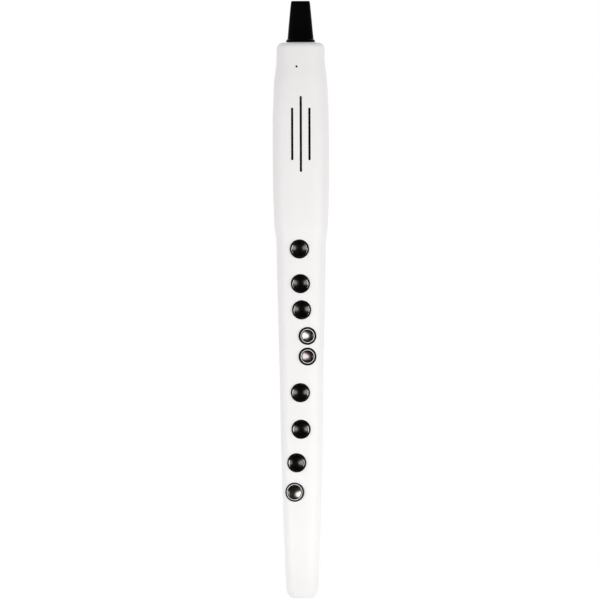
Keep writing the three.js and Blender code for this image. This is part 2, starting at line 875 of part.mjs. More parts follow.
function breathTube() {
  const besideBattery =
    halfWidth(slotsHeight + trayHalfZ) - wall - tubeFromWall - tubeRadius;
  const behindTray = trayFront + trayThickness + trayLip;
  const top = socketLow - portLength - touchGap;
  const low = nozzleTop + touchGap;
  const [trayTop, trayBottom] = [slotsHeight + trayHalfZ, slotsHeight - trayHalfZ];
  const half = (a, b) => (a + b) / 2;
  const path = new THREE.CatmullRomCurve3(
    [
      [-portSideways, 0, top],
      [-portSideways, 0, top - tubeRadius],
      [-half(portSideways, besideBattery), behindTray / 2, half(top, trayTop)],
      [-besideBattery, behindTray, trayTop],
      [-besideBattery, behindTray, slotsHeight],
      [-besideBattery, behindTray, trayBottom],
      [-half(sensorSideways, besideBattery), half(nozzleY, behindTray), half(low, trayBottom)],
      [-sensorSideways, nozzleY, low + tubeRadius],
      [-sensorSideways, nozzleY, low],
    ].map((point) => new THREE.Vector3(...point)),
    false,
    "centripetal",
  );
  const section = new THREE.Shape();
  section.absarc(0, 0, tubeRadius, 0, 2 * Math.PI, false);
  const bore = new THREE.Path();
  bore.absarc(0, 0, tubeBoreRadius, 0, 2 * Math.PI, true);
  section.holes.push(bore);
  return solidOf(
    new THREE.ExtrudeGeometry(section, {
      steps: tubeSteps,
      curveSegments: tubeArcSteps,
      extrudePath: path,
    }),
  );
}

// Controls on the back: voice button, volume rocker and power button, from the lowest up
const voiceHeight = screwHeights.middle + shoulderRadius + controlGap + buttonRadius;
const rockerHeight = voiceHeight + buttonRadius + controlGap + rockerLength / 2;
const powerHeight = rockerHeight + rockerLength / 2 + controlGap + buttonRadius;
const blockTop = boardBack + touchGap + blockHeight;

function backButton(height) {
  const outside = halfDepth(height);
  const flangeTop = outside - wall - 2 * touchGap;
  const tip = blockTop - stemInWell;
  const cap = turned([
    [0, tip],
    [stemRadius, tip],
    [stemRadius, flangeTop - buttonFlange],
    [buttonRadius + buttonFlange, flangeTop - buttonFlange],
    [buttonRadius + buttonFlange, flangeTop],
    [buttonRadius, flangeTop],
    [buttonRadius, outside + buttonStands - ringChamfer],
    [buttonRadius - ringChamfer, outside + buttonStands],
    [0, outside + buttonStands],
  ], bossSides);
  return moved(cap, 0, 0, height);
}

function backButtonHole(height) {
  const outside = halfDepth(height);
  const high = outside + buttonStands + cutOverrun;
  return moved(rod(buttonRadius + slideGap, seamBehindMiddle + wall, high), 0, 0, height);
}

const rockerPivotY = halfDepth(rockerHeight) - rockerPivotDepth;

// The rocker tips about a line across the body, on a leg that stands in a cradle of the switch block.
function volumeRocker() {
  const outside = halfDepth(rockerHeight);
  const cap = slab(
    slotShape(rockerWidth, rockerLength, 0, rockerHeight),
    rockerPivotY,
    outside + rockerStands,
  );
  const half = rockerLegWidth / 2;
  const leg = block(
    [-half, blockTop - stemInWell / 2, rockerHeight - half],
    [half, rockerPivotY + half, rockerHeight + half],
  );
  return cap.add(leg);
}

function rockerHole() {
  const outside = halfDepth(rockerHeight) + rockerStands + cutOverrun;
  const width = rockerWidth + 2 * touchGap;
  const length = rockerLength + 2 * rockerRoom;
  return slab(slotShape(width, length, 0, rockerHeight), seamBehindMiddle + wall, outside);
}

function controlSwitchBlock() {
  const low = boardBack + touchGap;
  const half = blockWidth / 2;
  const reach = buttonRadius + buttonFlange;
  const housing = block(
    [-half, low, voiceHeight - reach],
    [half, blockTop, powerHeight + reach],
  );
  const wellFloor = blockTop - stemInWell - buttonTravel - wellSpare;
  const wells = [voiceHeight, powerHeight].map((z) =>
    moved(rod(stemRadius + touchGap, wellFloor, blockTop + cutOverrun, bossSides), 0, 0, z),
  );
  const room = rockerLegWidth / 2 + 2 * rockerRoom;
  const cradle = block(
    [-room, blockTop - stemInWell, rockerHeight - room],
    [room, blockTop + cutOverrun, rockerHeight + room],
  );
  return without(housing, [...wells, cradle]);
}

// Thumb keys: three caps in a flat plate that lies in a seat cut in the back
const plateHeight = powerHeight + buttonRadius + plateGap + plateLength / 2;
const plateTop = halfDepth(plateHeight - plateLength / 2) - touchGap;
const plateLow = plateTop - plateThickness;
const padInside = plateLow - touchGap - platePadThickness;
const thumbKeys = [
  ["octave_down_key", octaveKeyWidth, octaveKeyLength, -octaveKeyOffset],
  ["thumb_key", thumbKeyWidth, thumbKeyWidth, 0],
  ["octave_up_key", octaveKeyWidth, octaveKeyLength, octaveKeyOffset],
].map(([name, width, length, offset]) => ({ name, width, length, height: plateHeight + offset }));

const grown = (key, by) => slotShape(key.width + 2 * by, key.length + 2 * by, 0, key.height);
const thumbSwitchTop = boardBack + touchGap + switchHeight;

function thumbCap(key) {
  const top = plateTop + thumbCapStands;
  const flangeTop = padInside - touchGap;
  const tip = thumbSwitchTop - stemInWell;
  const flange = slab(grown(key, thumbFlangeReach), flangeTop - capFlangeThickness, flangeTop);
  const stem = moved(rod(stemRadius, tip, flangeTop, bossSides), 0, 0, key.height);
  return joined([
    slab(grown(key, 0), flangeTop - capFlangeThickness, top - thumbCapEdge),
    slab(grown(key, -thumbCapEdge), flangeTop, top),
    flange,
    stem,
  ]);
}

function thumbSwitch(key) {
  const half = switchSide / 2;
  const low = boardBack + touchGap;
  const housing = block(
    [-half, low, key.height - half],
    [half, thumbSwitchTop, key.height + half],
  );
  const wellFloor = thumbSwitchTop - stemInWell - keyTravel - wellSpare;
  const well = rod(stemRadius + touchGap, wellFloor, thumbSwitchTop + cutOverrun, bossSides);
  return housing.subtract(moved(well, 0, 0, key.height));
}

function thumbKeyPlate() {
  const plate = slab(slotShape(plateWidth, plateLength, 0, plateHeight), plateLow, plateTop);
  const windows = thumbKeys.map((key) =>
    slab(grown(key, slideGap), plateLow - cutOverrun, plateTop + cutOverrun),
  );
  return without(plate, windows);
}

function platePad() {
  const width = plateWidth + 2 * platePadMargin;
  const length = plateLength + 2 * platePadMargin;
  return slab(slotShape(width, length, 0, plateHeight), padInside, plateLow);
}

function plateCuts() {
  const seat = slotShape(plateWidth + 2 * touchGap, plateLength + 2 * touchGap, 0, plateHeight);
  const high = bodyDepth / 2 + cutOverrun;
  return [
    slab(seat, plateLow - touchGap, high),
    ...thumbKeys.map((key) => slab(grown(key, slideGap), padInside - cutOverrun, high)),
  ];
}

// Thumb rest: a shelf that the right thumb lifts, on a base that two pegs hold to the back
const restHeight = fingerKeys.right_index.height - restBelowIndex;
const restSeat = halfDepth(restHeight - restBaseHeight / 2) - restSeatDepth;

function thumbRest() {
  const low = restSeat + touchGap;
  const high = low + restBaseThickness;
  const [halfX, halfZ] = [restWidth / 2, restBaseHeight / 2];
  const base = block([-halfX, low, restHeight - halfZ], [halfX, high, restHeight + halfZ]);
  const under = restHeight - restThickness / 2;
  const over = restHeight + restThickness / 2;
  const tip = high + restReach;
  const shelf = block([-halfX, low, under], [halfX, tip - restTipRadius, over]);
  const nose = block(
    [-halfX, tip - 2 * restTipRadius, under],
    [halfX, tip, over + restTipRadius],
  );
  const pegs = [-pegOffset, pegOffset].map((offset) =>
    moved(rod(pegRadius, restSeat - wall, high, bossSides), 0, 0, restHeight + offset),
  );
  return joined([base, shelf, nose, ...pegs]);
}

function restCuts() {
  const [halfX, halfZ] = [restWidth / 2 + touchGap, restBaseHeight / 2 + touchGap];
  const high = bodyDepth / 2 + cutOverrun;
  const seat = block(
    [-halfX, restSeat, restHeight - halfZ],
    [halfX, high, restHeight + halfZ],
  );
  const holes = [-pegOffset, pegOffset].map((offset) =>
    moved(rod(pegRadius + slideGap, seamBehindMiddle + wall, high, bossSides), 0, 0, restHeight + offset),
  );
  return [seat, ...holes];
}

// Sockets near the lower end
const usbHeightAt = jackHeight + jackToUsb;
const socketFace = (height) => halfDepth(height) - socketSunk;

function headphoneJack() {
  const [low, high] = [boardBack + touchGap, socketFace(jackHeight)];
  const barrel = rod(jackRadius, low, high);
  const bore = rod(jackBoreRadius, high - jackBoreDepth, high + cutOverrun, bossSides);
  return moved(barrel.subtract(bore), 0, 0, jackHeight);
}

function usbPort() {
  const [low, high] = [boardBack + touchGap, socketFace(usbHeightAt)];
  const outline = (trim) =>
    slotShape(usbWidth - 2 * trim, usbHeight - 2 * trim, 0, usbHeightAt);
  const shell = slab(outline(0), low, high).subtract(
    slab(outline(usbShellWall), high - usbDepth, high + cutOverrun),
  );
  const [halfX, halfZ] = [usbTongueWidth / 2, usbTongueHeight / 2];
  const tongue = block(
    [-halfX, high - usbDepth - usbShellWall, usbHeightAt - halfZ],
    [halfX, high - usbTongueShort, usbHeightAt + halfZ],
  );
  return shell.add(tongue);
}

function socketHoles() {
  const high = bodyDepth / 2 + cutOverrun;
  const usb = slotShape(usbWidth + 2 * touchGap, usbHeight + 2 * touchGap, 0, usbHeightAt);
  return [
    moved(rod(jackRadius + touchGap, seamBehindMiddle + wall, high), 0, 0, jackHeight),
    slab(usb, seamBehindMiddle + wall, high),
  ];
}

// Shells
function shellBlank() {
  return bodyForm(0, 0).subtract(bodyForm(wall, endWall));
}

const farBlock = (lowY, highY) =>
  block([-bodyWidth, lowY, -bodyDepth], [bodyWidth, highY, bodyLength + bodyDepth]);

function frontShell() {
  const half = shellBlank().intersect(farBlock(-bodyDepth, bossEnd));
  const carried = joined([half, ...Object.values(screwHeights).map(frontBoss), ...trayLedges()]);
  const holes = Object.values(fingerKeys).map((key) => inPlaceOf(keyGroup(key), ringHole(key.kind)));
  const statusHole = inPlaceOf(
    statusGroup(),
    rod(statusRadius + statusGap, -(wall + cutOverrun), cutOverrun, bossSides),
  );
  return without(carried, [
    ...holes,
    ...Object.values(screwHeights).map(pilotHole),
    ...speakerSlots(),
    statusHole,
    tenonHole(),
  ]);
}

function backShell() {
  const half = shellBlank().intersect(farBlock(seamBehindMiddle + touchGap / 2, bodyDepth));
  const carried = joined([half, platePad(), ...Object.values(screwHeights).map(backBoss)]);
  return without(carried, [
    ...Object.values(screwHeights).map(screwWell),
    ...plateCuts(),
    ...restCuts(),
    ...socketHoles(),
    backButtonHole(voiceHeight),
    backButtonHole(powerHeight),
    rockerHole(),
    tenonHole(),
  ]);
}

// The assembly
const controller = new THREE.Group();

function addPiece(name, solid, shade, parent = controller) {
  const mesh = new THREE.Mesh(geometryOf(solid), shade);
  mesh.name = name;
  parent.add(mesh);
  return mesh;
}

addPiece("front_shell", frontShell(), shades.body);
addPiece("rear_shell", backShell(), shades.body);
addPiece("mouthpiece", mouthpiece(), shades.mouthpiece);
addPiece("mouthpiece_gasket", mouthpieceGasket(), shades.rubber);
addPiece("mouthpiece_socket", mouthpieceSocket(), shades.greyPlastic);
addPiece("breath_tube", breathTube(), shades.tube);
addPiece("breath_sensor", breathSensor(), shades.blackPlastic);
addPiece("speaker_cloth", speakerCloth(), shades.cloth);
addPiece("speaker_frame", speakerFrame(), shades.blackPlastic);
addPiece("speaker_cone", speakerCone(), shades.cloth);
addPiece("speaker_magnet", speakerMagnet(), shades.steel);
addPiece("main_board", mainBoard(), shades.board);
addPiece("battery", battery(), shades.foil);
addPiece("battery_tray", batteryTray(), shades.greyPlastic);
addPiece("control_switch_block", controlSwitchBlock(), shades.blackPlastic);
addPiece("power_button", backButton(powerHeight), shades.darkChrome);
addPiece("voice_button", backButton(voiceHeight), shades.darkChrome);
addPiece("volume_rocker", volumeRocker(), shades.darkChrome);
addPiece("thumb_key_plate", thumbKeyPlate(), shades.ring);
addPiece("thumb_rest", thumbRest(), shades.blackPlastic);
addPiece("usb_port", usbPort(), shades.steel);
addPiece("headphone_jack", headphoneJack(), shades.blackPlastic);

const status = statusGroup();
controller.add(status);
addPiece("status_light", statusLight(), shades.light, status);

for (const key of Object.values(fingerKeys)) {
  const group = keyGroup(key);
  controller.add(group);
  addPiece(key.name + "_key_cap", fingerCap(key), shades.darkChrome, group);
  addPiece(key.name + "_key_ring", fingerRing(key.kind), shades.ring, group);
  addPiece(key.name + "_key_switch", keySwitch(key, group), shades.blackPlastic, group);
}

for (const key of thumbKeys) {
  addPiece(key.name + "_cap", thumbCap(key), shades.darkChrome);
  addPiece(key.name + "_switch", thumbSwitch(key), shades.blackPlastic);
}

for (const [place, height] of Object.entries(screwHeights)) {
  const piece = addPiece("shell_screw_" + place, screw(height), shades.steel);
  piece.position.z = height;
}

export default controller;
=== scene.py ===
import bisect
import math

import bmesh
import bpy
import numpy as np
from mathutils import Matrix, Vector


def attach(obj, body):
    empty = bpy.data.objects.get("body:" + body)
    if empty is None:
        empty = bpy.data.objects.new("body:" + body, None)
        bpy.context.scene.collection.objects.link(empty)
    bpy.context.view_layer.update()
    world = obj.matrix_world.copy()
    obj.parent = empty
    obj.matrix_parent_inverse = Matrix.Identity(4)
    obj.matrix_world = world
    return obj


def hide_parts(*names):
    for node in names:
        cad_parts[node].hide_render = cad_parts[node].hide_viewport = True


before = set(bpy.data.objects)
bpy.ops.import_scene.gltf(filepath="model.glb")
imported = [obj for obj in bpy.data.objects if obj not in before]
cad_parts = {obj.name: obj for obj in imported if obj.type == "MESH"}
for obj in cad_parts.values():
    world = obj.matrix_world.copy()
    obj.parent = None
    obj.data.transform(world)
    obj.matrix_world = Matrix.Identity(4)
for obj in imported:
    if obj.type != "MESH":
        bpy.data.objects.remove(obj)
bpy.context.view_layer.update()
scene = bpy.context.scene
mm = 0.001


def metres(*sizes):
    """Sizes that are given in millimetres."""
    return [size * mm for size in sizes]


# Sizes as the CAD has them. Z runs up the body, the finger keys face -Y.
touch_gap, slide_gap = metres(0.3, 0.2)
overrun = 1.5 * mm  # how far a cut runs past the face that it opens
same_place = 0.002 * mm  # points this near are one
body_width, body_depth, body_length = metres(42.5, 33.5, 418.6)
wall, end_wall, foot_radius, crown_radius = metres(2.4, 2.6, 6, 4)
section_power, depth_power = 2.5, 0.85
outline_rows = [  # shares of the length and of the width
    (0, 0.552), (0.061, 0.602), (0.169, 0.678), (0.299, 0.744), (0.406, 0.776), (0.492, 0.816),
    (0.602, 0.863), (0.636, 0.875), (0.646, 0.884), (0.662, 0.932), (0.688, 0.962), (0.731, 0.99),
    (0.79, 1), (0.86, 0.998), (0.884, 0.981), (0.927, 0.95), (0.968, 0.868), (1, 0.85),
]
seam = 3 * mm
front_edge, rear_edge = seam - touch_gap / 2, seam + touch_gap / 2
board_reach = 0.8 * mm + touch_gap  # where other pieces begin, on both sides of the board

# Only in this scene: how far the smooth skin lies inside the CAD's facets, and the tongue behind the seam
skin, tongue_end, tongue_inset, step_inset = metres(0.05, 4.2, 1.4, 1.3)

# Radii of a finger key's ring, cap, dish and barrel, for each kind of key
round_share = 0.987  # a round ring with the area of the CAD's, which has sixteen sides
key_kinds = {
    "main": (7.3 * mm * round_share, *metres(6, 5.4, 6.65)),
    "small": (6.8 * mm * round_share, *metres(5.2, 4.5, 5.85)),
    "low": (7.3 * mm * round_share, *metres(6, 5.05, 6.65)),
}
ring_hairline, ring_stands, ring_seat_depth, ring_barrel = metres(0.05, 0.45, 1.2, 1.7)
cap_stands, dish_depth, flange_thickness, lip_width, lip_rise = metres(0.25, 1.2, 0.8, 0.42, 0.12)
stem_radius, stem_in_well, stem_above_board = metres(1.5, 1.3, 3)
lip_steps, dish_steps, edge_steps = 8, 16, 5

# Each finger key: kind, place to the side and height
finger_keys = {
    "right_little": ("low", -5.4825 * mm, 80.1 * mm),
    "right_ring": ("main", -3.91 * mm, 102.2 * mm),
    "right_middle": ("main", -0.51 * mm, 127.4 * mm),
    "right_index": ("main", -0.935 * mm, 154.9 * mm),
    "left_little_lower": ("small", 4.59 * mm, 182.1 * mm),
    "left_little_upper": ("small", 4.59 * mm, 197.6 * mm),
    "left_ring": ("main", 0.17 * mm, 217.2 * mm),
    "left_middle": ("main", -0.68 * mm, 236.9 * mm),
    "left_index": ("main", -1.3175 * mm, 263 * mm),
}

slots_height, slot_width, slot_pitch, long_slot, short_slot = metres(349.5, 1.7, 6.5, 57.2, 39.6)
status_side, status_height, status_radius, status_gap = metres(-3.1, 400.3, 0.7, 0.15)
status_flange_radius, status_flange_top, status_low = metres(1.7, -2.7, -4.2)

screw_heights = metres(60.1, 168.75, 290, 386)
screw_radius, screw_length, screw_recess = metres(1, 11.9, 1.2)
screw_head_radius, screw_head, cross_radius, cross_depth = metres(1.9, 1.6, 0.7, 0.9)
pilot_radius, pilot_depth, boss_radius, shoulder_radius = metres(1.2, 7, 2.4, 3.6)

voice_height, rocker_height, power_height = metres(178.35, 191.35, 204.35)
button_radius, button_stands, button_dish = metres(3, 0.9, 0.3)
button_flange_radius, button_flange = metres(3.7, 0.7)
rocker_width, rocker_length, rocker_stands, rocker_room = metres(6, 14, 1.4, 0.5)
rocker_pivot, rocker_leg_width = metres(9.853, 2.4)
switch_block_top = board_reach + 4.6 * mm

plate_height, plate_width, plate_length = metres(243.35, 17, 62)
plate_low, plate_top, pad_inside, pad_margin = metres(12.287, 13.887, 9.387, 2.5)
thumb_keys = {  # width, length, height
    "octave_down_key": metres(12, 8, 224.35),
    "thumb_key": metres(10.5, 10.5, 243.35),
    "octave_up_key": metres(12, 8, 262.35),
}
thumb_cap_stands, thumb_flange_reach = metres(1.3, 0.7)
rest_height, rest_width, rest_base, rest_thickness = metres(127.9, 15, 22, 3.2)
rest_low, rest_high, rest_tip, rest_corner = metres(11.78, 13.78, 25.775, 1.2)
peg_radius, peg_offsets = 1.6 * mm, metres(-6.5, 6.5)

socket_sunk = 0.4 * mm  # how far the sockets for plugs end below the body's surface
jack_height, jack_radius, jack_bore_radius, jack_bore_depth = metres(15, 3.1, 1.8, 8)
usb_height, usb_wide, usb_high, usb_wall, usb_depth = metres(27.5, 9, 3.3, 0.4, 6.2)
usb_tongue_wide, usb_tongue_high, usb_pitch, usb_contacts = *metres(6.6, 0.7, 0.5), 12

# Half widths and half depths of the beak, its flange and the gasket, and the beak's shares up its length
beak_half, flange_half, gasket_half = metres(9.9, 7.3), metres(10.95, 8.3), metres(9.5, 7.5)
beak_shares = [
    (0, 1, 1), (0.25, 0.93, 0.8), (0.5, 0.86, 0.63), (0.75, 0.79, 0.48), (0.92, 0.735, 0.39),
    (0.975, 0.71, 0.35), (1, 0.65, 0.28),
]
beak_power = 3.4
gasket_top, beak_base, beak_tip = metres(418.75, 420.35, 449.7)
tenon_tip, tenon_radius, air_bore_radius = metres(407.6, 5.6, 2.1)
air_slot_width, air_slot_depth, air_slot_height = metres(8, 8, 1.5)


# Node trees

def put(tree, kind, inputs=(), **settings):
    """Adds a node. Its inputs are given by name or number, each a value or another node's output."""
    node = tree.nodes.new(kind)
    for name, value in settings.items():
        setattr(node, name, value)
    for name, value in dict(inputs).items():
        if isinstance(value, bpy.types.NodeSocket):
            tree.links.new(value, node.inputs[name])
        else:
            node.inputs[name].default_value = value
    return node


def maths(tree, operation, *values):
    return put(tree, "ShaderNodeMath", dict(enumerate(values)), operation=operation).outputs[0]


def node_group(name, family, inputs, outputs):
    """A new node group and what its inputs hand in. Inputs and outputs go by name, each with its kind."""
    tree = bpy.data.node_groups.new(name, family + "NodeTree")
    for way, kinds in (("INPUT", inputs), ("OUTPUT", outputs)):
        for label, kind in kinds.items():
            tree.interface.new_socket(label, in_out=way, socket_type="NodeSocket" + kind)
    return tree, put(tree, "NodeGroupInput").outputs


def handed_out(tree, form, finish):
    """Ends a Geometry Nodes tree with one plain mesh in its finish."""
    form = put(tree, "GeometryNodeRealizeInstances", {"Geometry": form}).outputs[0]
    form = put(tree, "GeometryNodeSetMaterial", {"Geometry": form, "Material": finish}).outputs[0]
    put(tree, "NodeGroupOutput", {0: form})
    return tree


def ring_stack_tree():
    """Geometry Nodes: a closed form through rings.

    Each point of the profile holds a ring's half width, half depth and height."""
    inputs = {"Profile": "Geometry", "Sides": "Int", "Power": "Float", "Finish": "Material"}
    tree, given = node_group("ring_stack", "Geometry", inputs, {"Form": "Geometry"})
    profile = given["Profile"]
    rows = put(tree, "GeometryNodeAttributeDomainSize", {"Geometry": profile}).outputs["Point Count"]
    columns = maths(tree, "ADD", given["Sides"], 1.0)
    sheet = put(tree, "GeometryNodeMeshGrid", {
        "Size X": 1.0, "Size Y": 1.0, "Vertices X": columns, "Vertices Y": rows,
    }).outputs["Mesh"]
    here = put(tree, "GeometryNodeInputPosition").outputs[0]
    place = put(tree, "ShaderNodeSeparateXYZ", {0: here}).outputs
    turn = maths(tree, "MULTIPLY", maths(tree, "ADD", place[0], 0.5), 2 * math.pi)
    row = maths(tree, "MULTIPLY", maths(tree, "ADD", place[1], 0.5), maths(tree, "SUBTRACT", rows, 1.0))
    ring = put(tree, "GeometryNodeSampleIndex", {
        0: profile, 1: here, "Index": maths(tree, "ROUND", row),
    }, data_type="FLOAT_VECTOR", domain="POINT").outputs[0]
    size = put(tree, "ShaderNodeSeparateXYZ", {0: ring}).outputs
    squareness = maths(tree, "DIVIDE", 2.0, given["Power"])

    def bent(value):
        reach = maths(tree, "POWER", maths(tree, "ABSOLUTE", value), squareness)
        return maths(tree, "MULTIPLY", maths(tree, "SIGN", value), reach)

    spot = put(tree, "ShaderNodeCombineXYZ", {
        0: maths(tree, "MULTIPLY", size[0], bent(maths(tree, "COSINE", turn))),
        1: maths(tree, "MULTIPLY", size[1], bent(maths(tree, "SINE", turn))),
        2: size[2],
    }).outputs[0]
    form = put(tree, "GeometryNodeSetPosition", {"Geometry": sheet, "Position": spot}).outputs[0]
    form = put(tree, "GeometryNodeMergeByDistance", {"Geometry": form, "Distance": same_place}).outputs[0]
    return handed_out(tree, form, given["Finish"])


def set_out_tree():
    """Geometry Nodes: one piece repeated at given places, each turned about Z by the place's own angle."""
    inputs = {"Places": "Geometry", "Piece": "Object", "Finish": "Material"}
    tree, given = node_group("set_out", "Geometry", inputs, {"Pieces": "Geometry"})
    points = put(tree, "GeometryNodeMeshToPoints", {"Mesh": given["Places"]}).outputs[0]
    piece = put(tree, "GeometryNodeObjectInfo", {"Object": given["Piece"]}).outputs["Geometry"]
    angle = put(tree, "GeometryNodeInputNamedAttribute", {"Name": "turn"}, data_type="FLOAT").outputs[0]
    facing = put(tree, "ShaderNodeCombineXYZ", {2: angle}).outputs[0]
    copies = put(tree, "GeometryNodeInstanceOnPoints", {
        "Points": points, "Instance": piece, "Rotation": facing,
    }).outputs[0]
    return handed_out(tree, copies, given["Finish"])


# Finishes

def object_place(tree, stretch=(1, 1, 1)):
    place = put(tree, "ShaderNodeTexCoord").outputs["Object"]
    return put(tree, "ShaderNodeMapping", {"Vector": place, "Scale": stretch}).outputs[0]


def noise(tree, place, scale, detail, roughness=0.5):
    return put(tree, "ShaderNodeTexNoise", {
        "Vector": place, "Scale": scale, "Detail": detail, "Roughness": roughness,
    }).outputs["Fac"]


def mixed(tree, share, low, high):
    return put(tree, "ShaderNodeMix", {0: share, 2: low, 3: high}, data_type="FLOAT").outputs[0]


def colour_mix(tree, share, dark, light):
    return put(tree, "ShaderNodeMix", {0: share, 6: dark, 7: light}, data_type="RGBA").outputs[2]


def spread(tree, value, low, high, from_low=0.0, from_high=1.0):
    return put(tree, "ShaderNodeMapRange", {
        "Value": value, "From Min": from_low, "From Max": from_high, "To Min": low, "To Max": high,
    }).outputs[0]


def noise_group(name, second, result, detail, ratio, second_detail, low=0.0, high=1.0):
    """Noise with a second layer in it, at ratio times its scale. What is from low to high fills 0 to 1."""
    tree, given = node_group(name, "Shader", {"Scale": "Float", second: "Float"}, {result: "Float"})
    place = object_place(tree)
    first_layer = noise(tree, place, given["Scale"], detail)
    second_layer = noise(tree, place, maths(tree, "MULTIPLY", given["Scale"], ratio), second_detail)
    both = mixed(tree, given[second], first_layer, second_layer)
    put(tree, "NodeGroupOutput", {0: spread(tree, both, 0.0, 1.0, low, high)})
    return tree


def brushed_group():
    """Fine lines along one direction, as on brushed or turned metal."""
    inputs = {"Scale": "Float", "Stretch": "Vector"}
    tree, given = node_group("brushed_lines", "Shader", inputs, {"Lines": "Float"})
    lines = noise(tree, object_place(tree, given["Stretch"]), given["Scale"], 3.0, 0.6)
    put(tree, "NodeGroupOutput", {0: lines})
    return tree


def weave_group():
    """Threads over and under: the height of a plain weave across X and Z, and the gaps between them."""
    outputs = {"Height": "Float", "Gap": "Float"}
    tree, given = node_group("plain_weave", "Shader", {"Pitch": "Float"}, outputs)
    place = put(tree, "ShaderNodeSeparateXYZ", {0: object_place(tree)}).outputs
    waves = []
    for axis in (0, 2):
        threads = maths(tree, "DIVIDE", place[axis], given["Pitch"])
        waves.append(maths(tree, "SINE", maths(tree, "MULTIPLY", threads, math.pi)))
    top = maths(tree, "MAXIMUM", *(maths(tree, "ABSOLUTE", wave) for wave in waves))
    over = maths(tree, "MULTIPLY", maths(tree, "MULTIPLY", *waves), 0.25)
    height = maths(tree, "MULTIPLY", top, maths(tree, "ADD", 0.75, over))
    put(tree, "NodeGroupOutput", {0: height, 1: maths(tree, "LESS_THAN", top, 0.45)})
    return tree


stacking, setting_out = ring_stack_tree(), set_out_tree()
mottle_tree = noise_group("surface_mottle", "Speckle", "Mask", 3.0, 24.0, 1.0, 0.32, 0.68)
grain_tree = noise_group("moulded_grain", "Waviness", "Height", 2.0, 0.15, 0.0)
brushed_tree, weave_tree = brushed_group(), weave_group()


def placed(tree, group, *values):
    """What a node group hands out where its inputs have these values."""
    return put(tree, "ShaderNodeGroup", dict(enumerate(values)), node_tree=group).outputs


def raised(tree, height, depth):
    """Gives a finish a relief, its depth in metres."""
    bump = put(tree, "ShaderNodeBump", {"Strength": 1.0, "Distance": depth, "Height": height})
    tree.links.new(bump.outputs[0], tree.nodes["Principled BSDF"].inputs["Normal"])


def finish(name, dark, light, gloss, mottle, relief=None, speckle=0.2, **constants):
    """A finish: two near tones and a range of roughness over a slow mottle, and a fine relief.

    Relief is (scale, waviness, depth in metres), or (scale, stretch, depth) for brushed metal.
    Constants go on the shader's own sockets."""
    made = bpy.data.materials.new(name)
    made.use_nodes = True
    tree = made.node_tree
    shader = tree.nodes["Principled BSDF"]
    for socket, value in constants.items():
        shader.inputs[socket.replace("_", " ")].default_value = value
    share = placed(tree, mottle_tree, mottle, speckle)[0]
    if relief:
        scale, shape, depth = relief
        brushed = isinstance(shape, tuple)
        height = placed(tree, brushed_tree if brushed else grain_tree, scale, shape)[0]
        share = mixed(tree, 0.6, share, height) if brushed else share
        raised(tree, height, depth)
    tree.links.new(colour_mix(tree, share, (*dark, 1), (*light, 1)), shader.inputs["Base Color"])
    tree.links.new(spread(tree, share, *gloss), shader.inputs["Roughness"])
    return made


def chrome(name, dark, light, gloss=(0.22, 0.28)):
    return finish(name, dark, light, gloss, 150.0, (400.0, 0.9, 0.002 * mm), 0.1, Metallic=1.0)


def speaker_cloth(pitch, depth):
    """Thin woven cloth, with painted shade darkening the gaps between its threads."""
    made = finish("speaker_weave", (0.003, 0.0028, 0.0028), (0.007, 0.0066, 0.0066), (0.85, 0.97), 300.0,
                  speckle=0.5, Specular_IOR_Level=0.05)
    tree = made.node_tree
    colour = tree.nodes["Principled BSDF"].inputs["Base Color"]
    height, gap = placed(tree, weave_tree, pitch)
    # The gaps between threads turn darker: painted shade
    tree.links.new(colour_mix(tree, gap, colour.links[0].from_socket, (0.002, 0.002, 0.002, 1)), colour)
    raised(tree, height, depth)
    return made


def printed_board():
    """Green solder mask with a faint net of tracks and small tinned spots."""
    made = finish("green_board", (0.012, 0.085, 0.04), (0.02, 0.12, 0.055), (0.3, 0.45), 200.0,
                  (1500.0, 0.2, 0.01 * mm))
    tree = made.node_tree
    colour = tree.nodes["Principled BSDF"].inputs["Base Color"]
    cells = put(tree, "ShaderNodeTexVoronoi", {
        "Vector": object_place(tree, (1, 1, 0.4)), "Scale": 420.0, "Randomness": 0.35,
    }, distance="MANHATTAN").outputs["Distance"]
    tracks = spread(tree, cells, 1.0, 0.0, 0.36, 0.4)
    tracked = colour_mix(tree, tracks, (0.03, 0.17, 0.08, 1), colour.links[0].from_socket)
    spots = maths(tree, "LESS_THAN", cells, 0.1)
    tree.links.new(colour_mix(tree, spots, tracked, (0.55, 0.55, 0.52, 1)), colour)
    return made


white_shell = finish("white_shell", (0.878, 0.855, 0.853), (0.903, 0.883, 0.88), (0.3, 0.36), 22.0,
                     (2600.0, 0.2, 0.002 * mm), 0.1, Specular_IOR_Level=0.3)
beak_black = finish("beak_black", (0.0008, 0.0008, 0.001), (0.0016, 0.0016, 0.0018), (0.42, 0.52), 90.0,
                    (1800.0, 0.3, 0.008 * mm), Specular_IOR_Level=0.1)
soft_gasket = finish("soft_gasket", (0.52, 0.5, 0.51), (0.6, 0.585, 0.59), (0.7, 0.85), 400.0,
                     (2500.0, 0.2, 0.01 * mm))
black_chrome = chrome("black_chrome", (0.11, 0.098, 0.094), (0.137, 0.122, 0.117), (0.2, 0.26))
